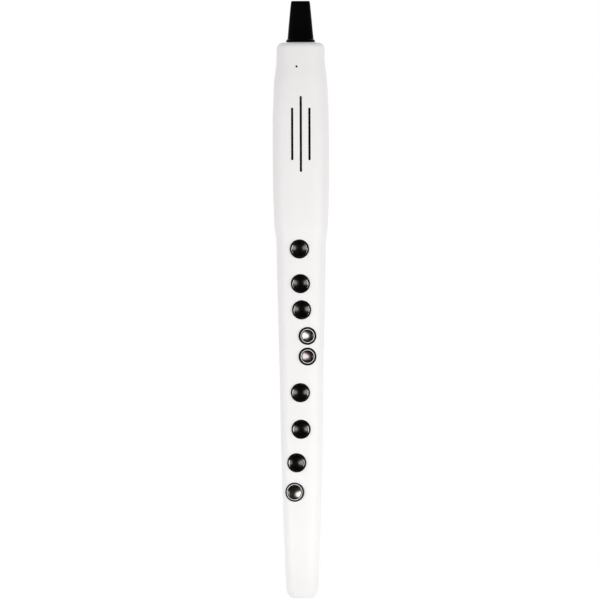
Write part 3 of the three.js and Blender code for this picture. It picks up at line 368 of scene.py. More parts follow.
# Brighter white, cream and rose copies of the key chrome for the little keys' dishes: painted highlights, so
# that these dishes shine brighter than the main keys' black chrome
white_painted_highlight_chrome = chrome("white_painted_highlight_chrome", (0.52, 0.507, 0.503), (0.6, 0.587, 0.583))
cream_painted_highlight_chrome = chrome("cream_painted_highlight_chrome", (0.57, 0.56, 0.49), (0.65, 0.64, 0.57))
rose_painted_highlight_chrome = chrome("rose_painted_highlight_chrome", (0.4, 0.325, 0.345), (0.49, 0.405, 0.425))
bright_lip = finish("bright_lip", (0.88, 0.87, 0.87), (0.94, 0.93, 0.93), (0.3, 0.42), 300.0)
polished_lip = finish("polished_lip", (0.82, 0.775, 0.757), (0.92, 0.875, 0.857), (0.12, 0.2), 300.0,
                      Metallic=1.0)
ring_black = finish("ring_black", (0.0022, 0.0015, 0.0014), (0.0044, 0.003, 0.0028), (0.25, 0.34), 200.0,
                    (1200.0, 0.5, 0.003 * mm), Specular_IOR_Level=0.25)
plate_satin = finish("plate_satin", (0.022, 0.022, 0.024), (0.034, 0.034, 0.037), (0.34, 0.46), 120.0,
                     (900.0, (1.0, 1.0, 0.04), 0.006 * mm), Metallic=0.7)
grip_rubber = finish("grip_rubber", (0.012, 0.012, 0.013), (0.022, 0.022, 0.024), (0.6, 0.78), 260.0,
                     (1600.0, 0.15, 0.05 * mm), 0.4)
black_moulding = finish("black_moulding", (0.011, 0.011, 0.012), (0.02, 0.02, 0.022), (0.42, 0.55), 150.0,
                        (1700.0, 0.2, 0.012 * mm))
grey_moulding = finish("grey_moulding", (0.085, 0.092, 0.1), (0.115, 0.123, 0.132), (0.45, 0.58), 120.0,
                       (1500.0, 0.3, 0.012 * mm))
clear_silicone = finish("clear_silicone", (0.62, 0.65, 0.67), (0.74, 0.77, 0.79), (0.28, 0.4), 240.0,
                        (600.0, 0.8, 0.01 * mm), Subsurface_Weight=0.3, Subsurface_Scale=0.002)
pressed_fibre = finish("pressed_fibre", (0.008, 0.008, 0.009), (0.02, 0.02, 0.021), (0.75, 0.92), 500.0,
                       (2200.0, 0.1, 0.03 * mm), 0.6)
plated_magnet = finish("plated_magnet", (0.5, 0.5, 0.52), (0.64, 0.64, 0.66), (0.22, 0.34), 160.0,
                       (700.0, (1.0, 0.05, 1.0), 0.004 * mm), Metallic=1.0)
satin_steel = finish("satin_steel", (0.52, 0.53, 0.54), (0.68, 0.69, 0.7), (0.24, 0.36), 260.0,
                     (1100.0, (0.08, 1.0, 1.0), 0.004 * mm), Metallic=1.0)
battery_pouch = finish("battery_pouch", (0.55, 0.57, 0.6), (0.7, 0.72, 0.75), (0.28, 0.42), 90.0,
                       (260.0, 0.7, 0.12 * mm), Metallic=0.8)
smoked_lens = finish("smoked_lens", (0.012, 0.012, 0.013), (0.03, 0.03, 0.032), (0.08, 0.14), 900.0,
                     Coat_Weight=0.6, Coat_Roughness=0.05)
gold_contacts = finish("gold_contacts", (0.62, 0.42, 0.16), (0.74, 0.52, 0.22), (0.22, 0.3), 700.0,
                       Metallic=1.0)
speaker_weave = speaker_cloth(pitch=0.42 * mm, depth=0.12 * mm)
green_board = printed_board()


# Mesh tools

def added(name, data):
    """A new object in the scene."""
    made = bpy.data.objects.new(name, data)
    scene.collection.objects.link(made)
    return made


def settled(work):
    """The plain mesh of a working object with its modifiers applied. The object goes."""
    graph = bpy.context.evaluated_depsgraph_get()
    done = work.evaluated_get(graph)
    mesh = bpy.data.meshes.new_from_object(done, preserve_all_data_layers=True, depsgraph=graph)
    bpy.data.objects.remove(work)
    return mesh


def painted(mesh, finish):
    """Gives a whole mesh one finish."""
    mesh.materials.clear()
    mesh.materials.append(finish)
    mesh.polygons.foreach_set("material_index", [0] * len(mesh.polygons))
    return mesh


def grown(tree, source, values):
    """The plain mesh that a Geometry Nodes tree makes from a source mesh."""
    work = added("work", source)
    modifier = work.modifiers.new("maker", "NODES")
    modifier.node_group = tree
    for item in tree.interface.items_tree:
        if item.in_out == "INPUT" and item.name in values:
            modifier[item.identifier] = values[item.name]
    return painted(settled(work), values["Finish"])


def ring_stack(rows, finish, sides=64, power=2.0):
    """A closed form through rings, from the lowest centre up the outside to the highest centre."""
    line = bpy.data.meshes.new("profile")
    line.from_pydata(rows, [(i, i + 1) for i in range(len(rows) - 1)], [])
    return grown(stacking, line, {"Sides": sides, "Power": power, "Finish": finish})


def rounded(points, steps=5):
    """A profile of (across, along) points, with an arc at each one that has a radius as its third number."""
    made = []
    for i, (across, along, *bend) in enumerate(points):
        if not bend:
            made.append((across, along))
            continue
        radius, corner = bend[0], Vector((across, along))
        before = (Vector(points[i - 1][:2]) - corner).normalized()
        after = (Vector(points[i + 1][:2]) - corner).normalized()
        half = before.angle(after) / 2
        reach = radius / math.tan(half)
        centre = corner + (before + after).normalized() * radius / math.sin(half)
        start, end = corner + before * reach - centre, corner + after * reach - centre
        sweep = math.pi - 2 * half
        for step in range(steps + 1):
            share = step / steps
            arm = (start * math.sin((1 - share) * sweep) + end * math.sin(share * sweep)) / math.sin(sweep)
            made.append(tuple(centre + arm))
    return made


def facing_back(height=0.0):
    """Stands a lathe form at a height, its Z axis along +Y."""
    return Matrix.Translation((0, 0, height)) @ Matrix.Rotation(-math.pi / 2, 4, "X")


def turned(points, stand=Matrix.Identity(4), sides=64, finish=white_shell, steps=5):
    """A lathe form about Z from a profile for rounded, lowest centre first, then stood by a matrix."""
    rows = [(radius, radius, height) for radius, height in rounded(points, steps)]
    mesh = ring_stack(rows, finish, sides)
    mesh.transform(stand)
    return mesh


def rod(radius, low, high, *how):
    """A plain rod. How it stands, its sides and its finish are as in turned."""
    return turned([(0, low), (radius, low), (radius, high), (0, high)], *how)


def set_out(mesh, places, finish):
    """One mesh with a copy of the given one at each (place, turn about Z)."""
    marks = bpy.data.meshes.new("places")
    marks.from_pydata([place for place, _ in places], [], [])
    marks.attributes.new("turn", "FLOAT", "POINT").data.foreach_set("value", [turn for _, turn in places])
    pattern = added("work", mesh)
    made = grown(setting_out, marks, {"Piece": pattern, "Finish": finish})
    bpy.data.objects.remove(pattern)
    return made


def quarter_round(radius, top, steps):
    """(Inset, height) pairs up a rounded edge that ends at top."""
    angles = [step / steps * math.pi / 2 for step in range(steps + 1)]
    return [(radius * (1 - math.cos(angle)), top - radius * (1 - math.sin(angle))) for angle in angles]


def band(half, inset, low, high, steps):
    """Rows for ring_stack: a rim from low to high whose round side draws in by inset at both edges."""
    rows = []
    for step in range(steps + 1):
        angle = step / steps * math.pi - math.pi / 2
        drawn = inset * (1 - math.cos(angle))
        rows.append((half[0] - drawn, half[1] - drawn, low + (high - low) / 2 * (1 + math.sin(angle))))
    return rows


def slot_outline(width, length, x, z, corner=None, steps=10):
    """Points of a slot in X and Z: straight sides and round ends, or small round corners."""
    radius = min(width, length) / 2 if corner is None else min(corner, width / 2, length / 2)
    made = []
    for quarter in range(4):
        side = (1, -1, -1, 1)[quarter] * (width / 2 - radius)
        rise = (1, 1, -1, -1)[quarter] * (length / 2 - radius)
        for step in range(steps + 1):
            angle = (quarter + step / steps) * math.pi / 2
            made.append((x + side + radius * math.cos(angle), z + rise + radius * math.sin(angle)))
    return made


def stacked(outlines, finish):
    """A closed form through outlines with as many points each, given as (X and Z points, Y)."""
    work = bmesh.new()
    loops = [[work.verts.new((x, y, z)) for x, z in outline] for outline, y in outlines]
    count = len(loops[0])
    for low, high in zip(loops, loops[1:]):
        for i in range(count):
            j = (i + 1) % count
            work.faces.new((low[i], low[j], high[j], high[i]))
    work.faces.new(loops[0])
    work.faces.new(loops[-1])
    bmesh.ops.remove_doubles(work, verts=work.verts, dist=same_place)
    bmesh.ops.recalc_face_normals(work, faces=work.faces)
    mesh = bpy.data.meshes.new("stacked")
    work.to_mesh(mesh)
    work.free()
    return painted(mesh, finish)


def slot_block(width, length, height, low, high, finish=white_shell, side=0, gap=0, corner=None, edge=None):
    """A slot-shaped block from low to high along Y, wider and longer by a gap all round.

    Edge is the radius of its outer edge, how deep its face is dished and over what reach."""
    rows = [(0, low), (0, high)]
    if edge:
        radius, dish, reach = edge
        rows[1:] = quarter_round(radius, high, edge_steps)
        for step in range(1, edge_steps + 1) if dish else ():
            share = step / edge_steps
            rows.append((radius + reach * share, high - dish * math.sin(share * math.pi / 2)))
    outlines = []
    for inset, y in rows:
        more = 2 * (gap - inset)
        bend = None if corner is None else max(corner - inset, 0.05 * mm)
        outlines.append((slot_outline(width + more, length + more, side, height, bend), y))
    return stacked(outlines, finish)


def joined(meshes):
    """Several meshes as one. They keep their finishes."""
    work = bmesh.new()
    finishes = []
    for mesh in meshes:
        start = len(work.faces)
        work.from_mesh(mesh)
        work.faces.ensure_lookup_table()
        for face in work.faces[start:]:
            finish = mesh.materials[face.material_index]
            if finish not in finishes:
                finishes.append(finish)
            face.material_index = finishes.index(finish)
    made = bpy.data.meshes.new("joined")
    work.to_mesh(made)
    work.free()
    for finish in finishes:
        made.materials.append(finish)
    return made


def combined(mesh, others, operation="DIFFERENCE"):
    """The mesh after the other meshes are cut from it, added to it or kept in common, one by one."""
    work = added("work", mesh)
    tools = [added("work", other) for other in others]
    for tool in tools:
        modifier = work.modifiers.new("cut", "BOOLEAN")
        modifier.operation, modifier.solver, modifier.object = operation, "MANIFOLD", tool
    made = settled(work)
    for tool in tools:
        bpy.data.objects.remove(tool)
    return painted(made, mesh.materials[0])


def smooth(mesh, angle=40):
    mesh.polygons.foreach_set("use_smooth", [True] * len(mesh.polygons))
    mesh.set_sharp_from_angle(angle=math.radians(angle))
    return mesh


def piece(name, mesh, body, slot, *nodes):
    """A finished piece: it rides on a body and stands for CAD nodes, which it hides. Slot is not used."""
    mesh.name = name
    made = added(name, mesh)
    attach(made, body)
    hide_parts(*nodes)


# The body's rule

def smooth_through(rows):
    """A curve through (place, value) rows that never swings past them."""
    places, values = zip(*rows)
    steps = [b - a for a, b in zip(places, places[1:])]
    slopes = [(b - a) / step for a, b, step in zip(values, values[1:], steps)]
    pulls = [slopes[0]]
    for i in range(len(slopes) - 1):
        if slopes[i] * slopes[i + 1] <= 0:
            pulls.append(0.0)
            continue
        near, far = 2 * steps[i + 1] + steps[i], steps[i + 1] + 2 * steps[i]
        pulls.append((near + far) / (near / slopes[i] + far / slopes[i + 1]))
    pulls.append(slopes[-1])

    def value(at):
        i = min(len(steps) - 1, max(0, bisect.bisect_right(places, at) - 1))
        t, step = (at - places[i]) / steps[i], steps[i]
        return (
            (1 + 2 * t) * (1 - t) ** 2 * values[i] + t * (1 - t) ** 2 * step * pulls[i]
            + t ** 2 * (3 - 2 * t) * values[i + 1] + t ** 2 * (t - 1) * step * pulls[i + 1]
        )

    return value


smooth_share = smooth_through(outline_rows)


def cad_share(share):
    """The CAD's own outline, straight between its rows."""
    return float(np.interp(share, *zip(*outline_rows)))


def corner_inset(height):
    """How far the round foot and crown draw the outline in at a height."""
    inset = 0.0
    for radius, from_end in ((foot_radius, height), (crown_radius, body_length - height)):
        into = min(radius, max(0.0, radius - from_end))
        inset += radius - math.sqrt(radius ** 2 - into ** 2)
    return inset


def half_sizes(height, share_of=smooth_share):
    """Half the body's width and depth at a height."""
    share = share_of(min(1.0, max(0.0, height / body_length)))
    inset = corner_inset(height)
    return body_width / 2 * share - inset, body_depth / 2 * share ** depth_power - inset


def back_depth(height):
    return half_sizes(height, cad_share)[1]


def key_place(side, height):
    """How far in front of the middle the body's surface lies there, and how far it turns to the side."""
    wide, deep = half_sizes(height, cad_share)
    depth = deep * (1 - (abs(side) / wide) ** section_power) ** (1 / section_power)
    across = abs(side) ** (section_power - 1) / wide ** section_power
    forward = depth ** (section_power - 1) / deep ** section_power
    return depth, math.copysign(math.atan2(across, forward), side)


def key_matrix(side, height):
    """Stands a lathe form on the body's front, its Z axis pointing out."""
    depth, tilt = key_place(side, height)
    turn = Matrix.Rotation(math.pi + tilt, 4, "Z")
    return Matrix.Translation((side, -depth, height)) @ turn @ facing_back()


def body_form(inset, end_inset, sides, step):
    """The body's closed form, drawn in by inset, with rows a step apart and closer ones round its corners."""
    low, high = end_inset, body_length - end_inset
    heights = list(np.arange(low + step, high - step / 2, step))
    if not end_inset:
        for i in range(1, 13):
            rise = 1 - math.cos(i * math.pi / 24)
            heights += [foot_radius * rise, body_length - crown_radius * rise]
    rows = [(0.0, 0.0, low)]
    for z in sorted({round(z, 7) for z in heights} | {low, high}):
        wide, deep = half_sizes(z)
        rows.append((wide - inset, deep - inset, z))
    rows.append((0.0, 0.0, high))
    return ring_stack(rows, white_shell, sides, section_power)


def vectors(items, name):
    """One vector of each item, as the rows of an array."""
    flat = np.empty(len(items) * 3)
    items.foreach_get(name, flat)
    return flat.reshape(-1, 3)


def smooth_body(mesh):
    """Gives the outer skin the rule's own normals, so that its holes leave no ripples in the shine."""
    smooth(mesh, 30)
    normals, points = vectors(mesh.corner_normals, "vector"), vectors(mesh.vertices, "co")
    step = 0.02 * mm
    on_skin = np.zeros(len(points), bool)
    rule = np.zeros_like(points)
    for i, (x, y, z) in enumerate(points):
        z = min(body_length - 2 * step, max(2 * step, z))
        wide, deep = (size - skin for size in half_sizes(z))
        part_x, part_y = (abs(x) / wide) ** section_power, (abs(y) / deep) ** section_power
        if abs(part_x + part_y - 1) > 0.02:
            continue
        (wide_up, deep_up), (wide_low, deep_low) = half_sizes(z + step), half_sizes(z - step)
        growth = part_x * (wide_up - wide_low) / wide + part_y * (deep_up - deep_low) / deep
        on_skin[i] = True
        rule[i] = (
            section_power * part_x / x if abs(x) > 1e-6 else 0,
            section_power * part_y / y if abs(y) > 1e-6 else 0,
            -section_power * growth / (2 * step),
        )
    rule /= np.maximum(np.linalg.norm(rule, axis=1, keepdims=True), 1e-12)
    for face in mesh.polygons:
        corners = list(face.vertices)
        if on_skin[corners].all() and Vector(rule[corners].mean(0)).dot(face.normal) >= 0.85:
            normals[list(face.loop_indices)] = rule[corners]
    mesh.normals_split_custom_set(normals.tolist())
    return mesh


# Body pieces

def far_block(low, high):
    """A block that reaches past the body in X and Z."""
    return slot_block(2 * body_width, 2 * body_length, body_length / 2, low, high, corner=1 * mm)


def casing_half(front):
    """Half of the hollow body: the front with a tongue behind the seam, the rear with a step to take it."""
    outer, hollow = body_form(skin, 0.0, 144, 2 * mm), body_form(wall, end_wall, 64, 6 * mm)
    inset = tongue_inset if front else step_inset
    end = tongue_end if front else tongue_end + touch_gap / 2
    inner = combined(body_form(inset, inset, 96, 4 * mm), [far_block(-body_depth, end)], "INTERSECT")
    if front:
        half = combined(outer, [far_block(-body_depth, front_edge)], "INTERSECT")
        return combined(combined(half, [inner], "UNION"), [hollow])
    return combined(combined(outer, [far_block(rear_edge, body_depth)], "INTERSECT"), [inner, hollow])


def ring_seat(kind, stand):
    """What a key ring's seat takes out of the front."""
    ring, _, _, barrel = key_kinds[kind]
    edge, bore, seat = ring + ring_hairline, barrel + touch_gap, -(ring_seat_depth + touch_gap)
    low, high = -(2 * wall + overrun), ring_stands + overrun
    return turned([(0, low), (bore, low), (bore, seat), (edge, seat), (edge, high), (0, high)], stand, 96)


def tenon_hole():
    return rod(tenon_radius + touch_gap, body_length - end_wall - overrun, body_length + overrun)


def screw_boss(height):
    """A post for a screw, with a shoulder that the board sits on."""
    low, pilot_end = -(half_sizes(height)[1] - wall / 2), front_edge - pilot_depth
    return smooth(turned([
        (0, low), (shoulder_radius, low), (shoulder_radius, -board_reach), (boss_radius, -board_reach),
        (boss_radius, front_edge), (pilot_radius, front_edge), (pilot_radius, pilot_end), (0, pilot_end),
    ], facing_back(height), 32), 32)


def front_shell():
    cuts = [ring_seat(kind, key_matrix(side, height)) for kind, side, height in finger_keys.values()]
    for place in (-1, 0, 1):
        outside, inside = -(body_depth / 2 + overrun), -(body_depth / 2 - 2 * wall)
        cuts.append(slot_block(slot_width, short_slot if place else long_slot, slots_height, outside, inside,
                               side=place * slot_pitch))
    light = key_matrix(status_side, status_height)
    cuts += [rod(status_radius + status_gap, -(wall + overrun), overrun, light, 32), tenon_hole()]
    shell = smooth_body(combined(casing_half(front=True), cuts))
    return joined([shell, *(screw_boss(height) for height in screw_heights)])


def screw_seat(height):
    return back_depth(height) - screw_recess - screw_head


def rear_shell():
    inside, outside = seam + wall, body_depth / 2 + overrun
    solids = [slot_block(plate_width, plate_length, plate_height, pad_inside, plate_low, gap=pad_margin)]
    cuts = []
    for height in screw_heights:
        stand, seat = facing_back(height), screw_seat(height) - touch_gap
        solids.append(rod(shoulder_radius, rear_edge, back_depth(height) - wall / 2, stand, 32))
        cuts.append(rod(pilot_radius, seam - overrun, seat + overrun, stand, 32))
        cuts.append(rod(screw_head_radius + touch_gap, seat, outside, stand, 48))
    cuts.append(slot_block(plate_width, plate_length, plate_height, plate_low - touch_gap, outside,
                           gap=touch_gap))
    for size in thumb_keys.values():
        cuts.append(slot_block(*size, pad_inside - overrun, outside, gap=slide_gap))
    cuts.append(slot_block(rest_width, rest_base, rest_height, rest_low - touch_gap, outside,
                           gap=touch_gap, corner=rest_corner))
    for offset in peg_offsets:
        cuts.append(rod(peg_radius + slide_gap, inside, outside, facing_back(rest_height + offset), 32))
    for height in (voice_height, power_height):
        cuts.append(rod(button_radius + slide_gap, inside, outside, facing_back(height)))
    rocker_window = rocker_length + 2 * (rocker_room - touch_gap)
    cuts += [
        slot_block(rocker_width, rocker_window, rocker_height, inside, outside, gap=touch_gap),
        rod(jack_radius + touch_gap, inside, outside, facing_back(jack_height)),
        slot_block(usb_wide, usb_high, usb_height, inside, outside, gap=touch_gap),
        tenon_hole(),
    ]
    return smooth_body(combined(combined(casing_half(front=False), solids, "UNION"), cuts))


piece("front_casing", front_shell(), "body", "body", "front_shell")
piece("rear_casing", rear_shell(), "body", "body", "rear_shell")


# Finger keys

def key_ring(kind):
    """A dark ring with a rounded face and a barrel that guides the cap."""
    ring, cap, _, barrel = key_kinds[kind]
    bore, low = cap + slide_gap, -(ring_seat_depth + ring_barrel)
    return smooth(turned([
        (bore, low), (barrel, low), (barrel, -ring_seat_depth), (ring, -ring_seat_depth),
        (ring, ring_stands, 0.5 * mm), (bore, ring_stands, 0.25 * mm), (bore, low),
    ], facing_back(), 96, ring_black))


def key_cap(kind, side, height, dish_finish, lip_finish, hollow=dish_depth, drop=0.25 * mm, lean=(0, 0)):
    """A dished cap with a rounded lip, a flange that keeps it in its ring and a stem to press the switch.

    Hollow is the dish's depth. Drop is the height of a dark sloped wall between the lip and the dish.
    Lean turns the dish to the right and up, in degrees."""
    _, cap, dish, barrel = key_kinds[kind]
    depth, tilt = key_place(side, height)
    flange_top = -(ring_seat_depth + ring_barrel + touch_gap)
    flange_low = flange_top - flange_thickness
    tip = -(depth - board_reach) / math.cos(tilt) + stem_above_board
    lip_in = cap - lip_width
    lip_middle, lip_half = (cap + lip_in) / 2, (cap - lip_in) / 2
    outside = [
        (0, tip), (stem_radius, tip, 0.3 * mm), (stem_radius, flange_low), (barrel, flange_low),
        (barrel, flange_top), (cap, flange_top),
    ]
    for step in range(lip_steps + 1):
        across = 1 - 2 * step / lip_steps
        outside.append((lip_middle + lip_half * across, cap_stands - lip_rise * across ** 2))
    top, bowl = outside[-1][1] - drop, dish - drop
    shares = [step / dish_steps for step in range(dish_steps, -1, -1)]
    inside = [(bowl * share, top - hollow * (1 - share ** 2)) for share in shares]
    mesh = turned(outside + inside, sides=96, finish=dish_finish)
    mesh.materials.append(lip_finish)
    mesh.materials.append(black_chrome)
    for face in mesh.polygons:
        away = math.hypot(*face.center[:2])
        if away > bowl and face.center[2] > flange_top:
            face.material_index = 1 if away > lip_in - 0.02 * mm else 2
    fall = Vector([math.tan(math.radians(angle)) for angle in lean])
    for point in mesh.vertices:
        x, y, z = point.co
        if fall.length and math.hypot(x, y) < bowl + 0.01 * mm and z > flange_top:
            point.co.z = z + x * fall[0] + y * fall[1] - bowl * fall.length
    mesh.transform(key_matrix(side, height))
    return smooth(mesh)


# The little keys' dishes take the brighter chrome copies, which paint in their highlights; the other keys
# keep black chrome and the polished lip
little_dish = (0.7 * mm, 0.5 * mm, (12, -3))
cap_looks = {
    "left_little_upper": (white_painted_highlight_chrome, bright_lip, *little_dish),
    "left_little_lower": (rose_painted_highlight_chrome, bright_lip, *little_dish),
    "right_little": (cream_painted_highlight_chrome, bright_lip, 0.9 * mm, 0.3 * mm, (0, -8)),
}
rings = {"main": ([], []), "small": ([], [])}
for name, (kind, side, height) in finger_keys.items():
    depth, tilt = key_place(side, height)
    places, nodes = rings["small" if kind == "small" else "main"]
    places.append(((side, -depth, height), math.pi + tilt))
    nodes.append(name + "_key_ring")
    cap = key_cap(kind, side, height, *cap_looks.get(name, (black_chrome, polished_lip)))
    piece(name + "_dished_cap", cap, name + "_key", "key_metal", name + "_key_cap")
for kind, (places, nodes) in rings.items():
    set_rings = smooth(set_out(key_ring(kind), places, ring_black))
    piece(kind + "_key_rings", set_rings, "body", "key_ring", *nodes)


# Status light
lens = turned([
    (0, status_low), (status_flange_radius, status_low), (status_flange_radius, status_flange_top),
    (status_radius, status_flange_top), (status_radius, 0, 0.25 * mm), (0, 0),
], key_matrix(status_side, status_height), 32, smoked_lens)
piece("status_lens", smooth(lens), "body", "status_light", "status_light")


# Mouthpiece and gasket

def beak():
    width_at = smooth_through([(at, wide) for at, wide, _ in beak_shares])
    depth_at = smooth_through([(at, deep) for at, _, deep in beak_shares])
    length, tip_round, steps = beak_tip - beak_base, 0.6 * mm, 46
    rows = [(0, 0, gasket_top), *band(flange_half, 0.4 * mm, gasket_top, beak_base, 6)]
    for step in range(1, steps + 1):
        at = step / steps * (1 - tip_round / length)
        rows.append((beak_half[0] * width_at(at), beak_half[1] * depth_at(at), beak_base + length * at))
    wide, deep = rows[-1][:2]
    rows += [(wide - inset, deep - inset, z) for inset, z in quarter_round(tip_round, beak_tip, 8)[1:]]
    rows.append((0, 0, beak_tip))
    form = ring_stack(rows, beak_black, 96, beak_power)
    top = gasket_top + 0.4 * mm
    tenon = turned([(0, tenon_tip), (tenon_radius, tenon_tip, 0.5 * mm), (tenon_radius, top), (0, top)])
    bore = rod(air_bore_radius, tenon_tip - overrun, beak_tip - air_slot_depth)
    reach = air_slot_depth + air_bore_radius
    air_slot = slot_block(air_slot_width, reach + overrun, beak_tip - (reach - overrun) / 2,
                          -air_slot_height / 2, air_slot_height / 2, corner=0.4 * mm)
    return smooth(combined(combined(form, [tenon], "UNION"), [bore, air_slot]), 38)


def gasket():
    rim = band(gasket_half, 0.25 * mm, body_length, gasket_top, 8)
    form = ring_stack([(0, 0, body_length), *rim, (0, 0, gasket_top)], soft_gasket, 96, beak_power)
    bore = rod(tenon_radius + touch_gap, body_length - overrun, gasket_top + overrun)
    return smooth(combined(form, [bore]), 38)


piece("beak_mouthpiece", beak(), "mouthpiece", "mouthpiece", "mouthpiece")
piece("beak_gasket", gasket(), "mouthpiece", "gasket", "mouthpiece_gasket")


# Back controls
for name, height in (("power_button", power_height), ("voice_button", voice_height)):
    top, tip = back_depth(height) + button_stands, switch_block_top - stem_in_well
    flange_top = back_depth(height) - wall - 2 * touch_gap
    flange_low = flange_top - button_flange
    cap = turned([
        (0, tip), (stem_radius, tip), (stem_radius, flange_low), (button_flange_radius, flange_low),
        (button_flange_radius, flange_top), (button_radius, flange_top), (button_radius, top, 0.35 * mm),
        (button_radius - 0.9 * mm, top, 0.3 * mm), (0, top - button_dish),
    ], facing_back(height), 64, black_chrome, 4)
    piece(name + "_cap", smooth(cap), name, "key_metal", name)

top = back_depth(rocker_height) + rocker_stands
cap = slot_block(rocker_width, rocker_length, rocker_height, rocker_pivot, top, black_chrome,
                 edge=(0.6 * mm, 0.25 * mm, 1.6 * mm))
leg = slot_block(rocker_leg_width, rocker_leg_width, rocker_height, switch_block_top - stem_in_well / 2,
                 rocker_pivot + 1.2 * mm, black_chrome, corner=0.2 * mm)
piece("volume_rocker_cap", smooth(joined([cap, leg])), "volume_rocker", "key_metal", "volume_rocker")

plate = slot_block(plate_width, plate_length, plate_height, plate_low, plate_top, plate_satin,
                   edge=(0.4 * mm, 0, 0))
windows = [slot_block(*size, plate_low - overrun, plate_top + overrun, gap=slide_gap)
           for size in thumb_keys.values()]
piece("thumb_plate", smooth(combined(plate, windows)), "body", "thumb_plate", "thumb_key_plate")

flange_top = pad_inside - touch_gap
for name, size in thumb_keys.items():
    cap = slot_block(*size, flange_top, plate_top + thumb_cap_stands, black_chrome,
                     edge=(0.6 * mm, 0.4 * mm, min(size[:2]) / 2 - 1.4 * mm))
    flange = slot_block(*size, flange_top - flange_thickness, flange_top, black_chrome,
                        gap=thumb_flange_reach)
    stem = rod(stem_radius, board_reach + stem_above_board, flange_top - flange_thickness / 2,
               facing_back(size[2]), 32, black_chrome)
    piece(name + "_dished_cap", smooth(joined([cap, flange, stem])), name, "key_metal", name + "_cap")


def thumb_rest():
    """A hooked shelf on a base plate: its side profile, thickened across and with its edges rounded."""
    under, over = rest_height - rest_thickness / 2, rest_height + rest_thickness / 2
    low_end, high_end = rest_height - rest_base / 2, rest_height + rest_base / 2
    lip = over + 1.5 * mm
    profile = rounded([
        (rest_low, low_end), (rest_high, low_end, 0.8 * mm), (rest_high, under, 1.2 * mm),
        (rest_tip, under, 1.4 * mm), (rest_tip, lip, 1.3 * mm), (rest_tip - 3 * mm, lip, 1.2 * mm),
        (rest_tip - 3.6 * mm, over, 1.6 * mm), (rest_high, over, 2.2 * mm), (rest_high, high_end, 0.8 * mm),
        (rest_low, high_end),
    ])
    mesh = stacked([(profile, rest_width / 2), (profile, -rest_width / 2)], grip_rubber)
    mesh.transform(Matrix.Rotation(math.pi / 2, 4, "Z"))
    soft = added("work", mesh)
    bevel = soft.modifiers.new("edges", "BEVEL")
    bevel.width, bevel.segments = 0.7 * mm, 3
    bevel.limit_method, bevel.angle_limit = "ANGLE", math.radians(50)
    pegs = [rod(peg_radius, rest_low - touch_gap - wall, rest_high - 0.5 * mm,
                facing_back(rest_height + offset), 32, grip_rubber) for offset in peg_offsets]
    return smooth(joined([settled(soft), *pegs]))


piece("thumb_hook", thumb_rest(), "body", "thumb_rest", "thumb_rest")


# Screws and sockets

def cross_screw():
    """A pan-head screw along +Y with a cross recess; its seat is the origin."""
    body = turned([
        (0, -screw_length), (screw_radius, screw_radius - screw_length), (screw_radius, 0),
        (screw_head_radius, 0), (screw_head_radius, screw_head, 0.55 * mm), (0, screw_head),
    ], facing_back(), 48, satin_steel)
    long, short = 3 * cross_radius, 2 * cross_radius / 2.4
    cross = [slot_block(wide, high, 0, screw_head - cross_depth, screw_head + overrun, corner=0.1 * mm)
             for wide, high in ((long, short), (short, long))]
    return smooth(combined(body, cross))


screw_places = [((0, screw_seat(height), height), 0.0) for height in screw_heights]
piece("casing_screws", smooth(set_out(cross_screw(), screw_places, satin_steel)), "body", "steel",
      "shell_screw_low", "shell_screw_middle", "shell_screw_high", "shell_screw_top")

face = back_depth(jack_height) - socket_sunk
bore_end = face - jack_bore_depth
barrel = turned([
    (0, board_reach), (jack_radius, board_reach), (jack_radius, face, 0.3 * mm),
    (jack_bore_radius, face, 0.25 * mm), (jack_bore_radius, bore_end), (0, bore_end),
], facing_back(jack_height), 64, black_moulding)
low, high, inner, outer = face - 0.5 * mm, face + 0.12 * mm, 2 * mm, 2.7 * mm
metal_ring = turned([
    (inner, low), (outer, low), (outer, high, 0.1 * mm), (inner, high, 0.1 * mm), (inner, low),
], facing_back(jack_height), 64, satin_steel)
piece("audio_jack", smooth(joined([barrel, metal_ring])), "body", "black_plastic", "headphone_jack")

face = back_depth(usb_height) - socket_sunk
shell = slot_block(usb_wide, usb_high, usb_height, board_reach, face, satin_steel, edge=(0.15 * mm, 0, 0))
hollow = slot_block(usb_wide, usb_high, usb_height, face - usb_depth, face + overrun, gap=-usb_wall)
tongue = slot_block(usb_tongue_wide, usb_tongue_high, usb_height, face - usb_depth - usb_wall,
                    face - 1 * mm, black_moulding, corner=0.15 * mm)
contacts = [slot_block(0.28 * mm, usb_tongue_high + 0.06 * mm, usb_height, face - 5.5 * mm, face - 1.3 * mm,
                       gold_contacts, side=(i - (usb_contacts - 1) / 2) * usb_pitch, corner=0.05 * mm)
            for i in range(usb_contacts)]
port = joined([combined(shell, [hollow]), tongue, *contacts])
piece("charging_port", smooth(port), "body", "steel", "usb_port")


# The CAD's own pieces that stay, each with its finish
kept = {
    "mouthpiece_socket": grey_moulding, "breath_tube": clear_silicone, "breath_sensor": black_moulding,
    "speaker_cloth": speaker_weave, "speaker_frame": black_moulding, "speaker_cone": pressed_fibre,
    "speaker_magnet": plated_magnet, "main_board": green_board, "battery": battery_pouch,
    "battery_tray": grey_moulding, "control_switch_block": black_moulding,
}
kept.update({name + "_key_switch": black_moulding for name in finger_keys})
kept.update({name + "_switch": black_moulding for name in thumb_keys})
for name, material in kept.items():
    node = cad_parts[name]
    node.data.materials.clear()
    node.data.materials.append(material)


# Studio
white, fill_level = (1, 1, 1, 1), 0.46


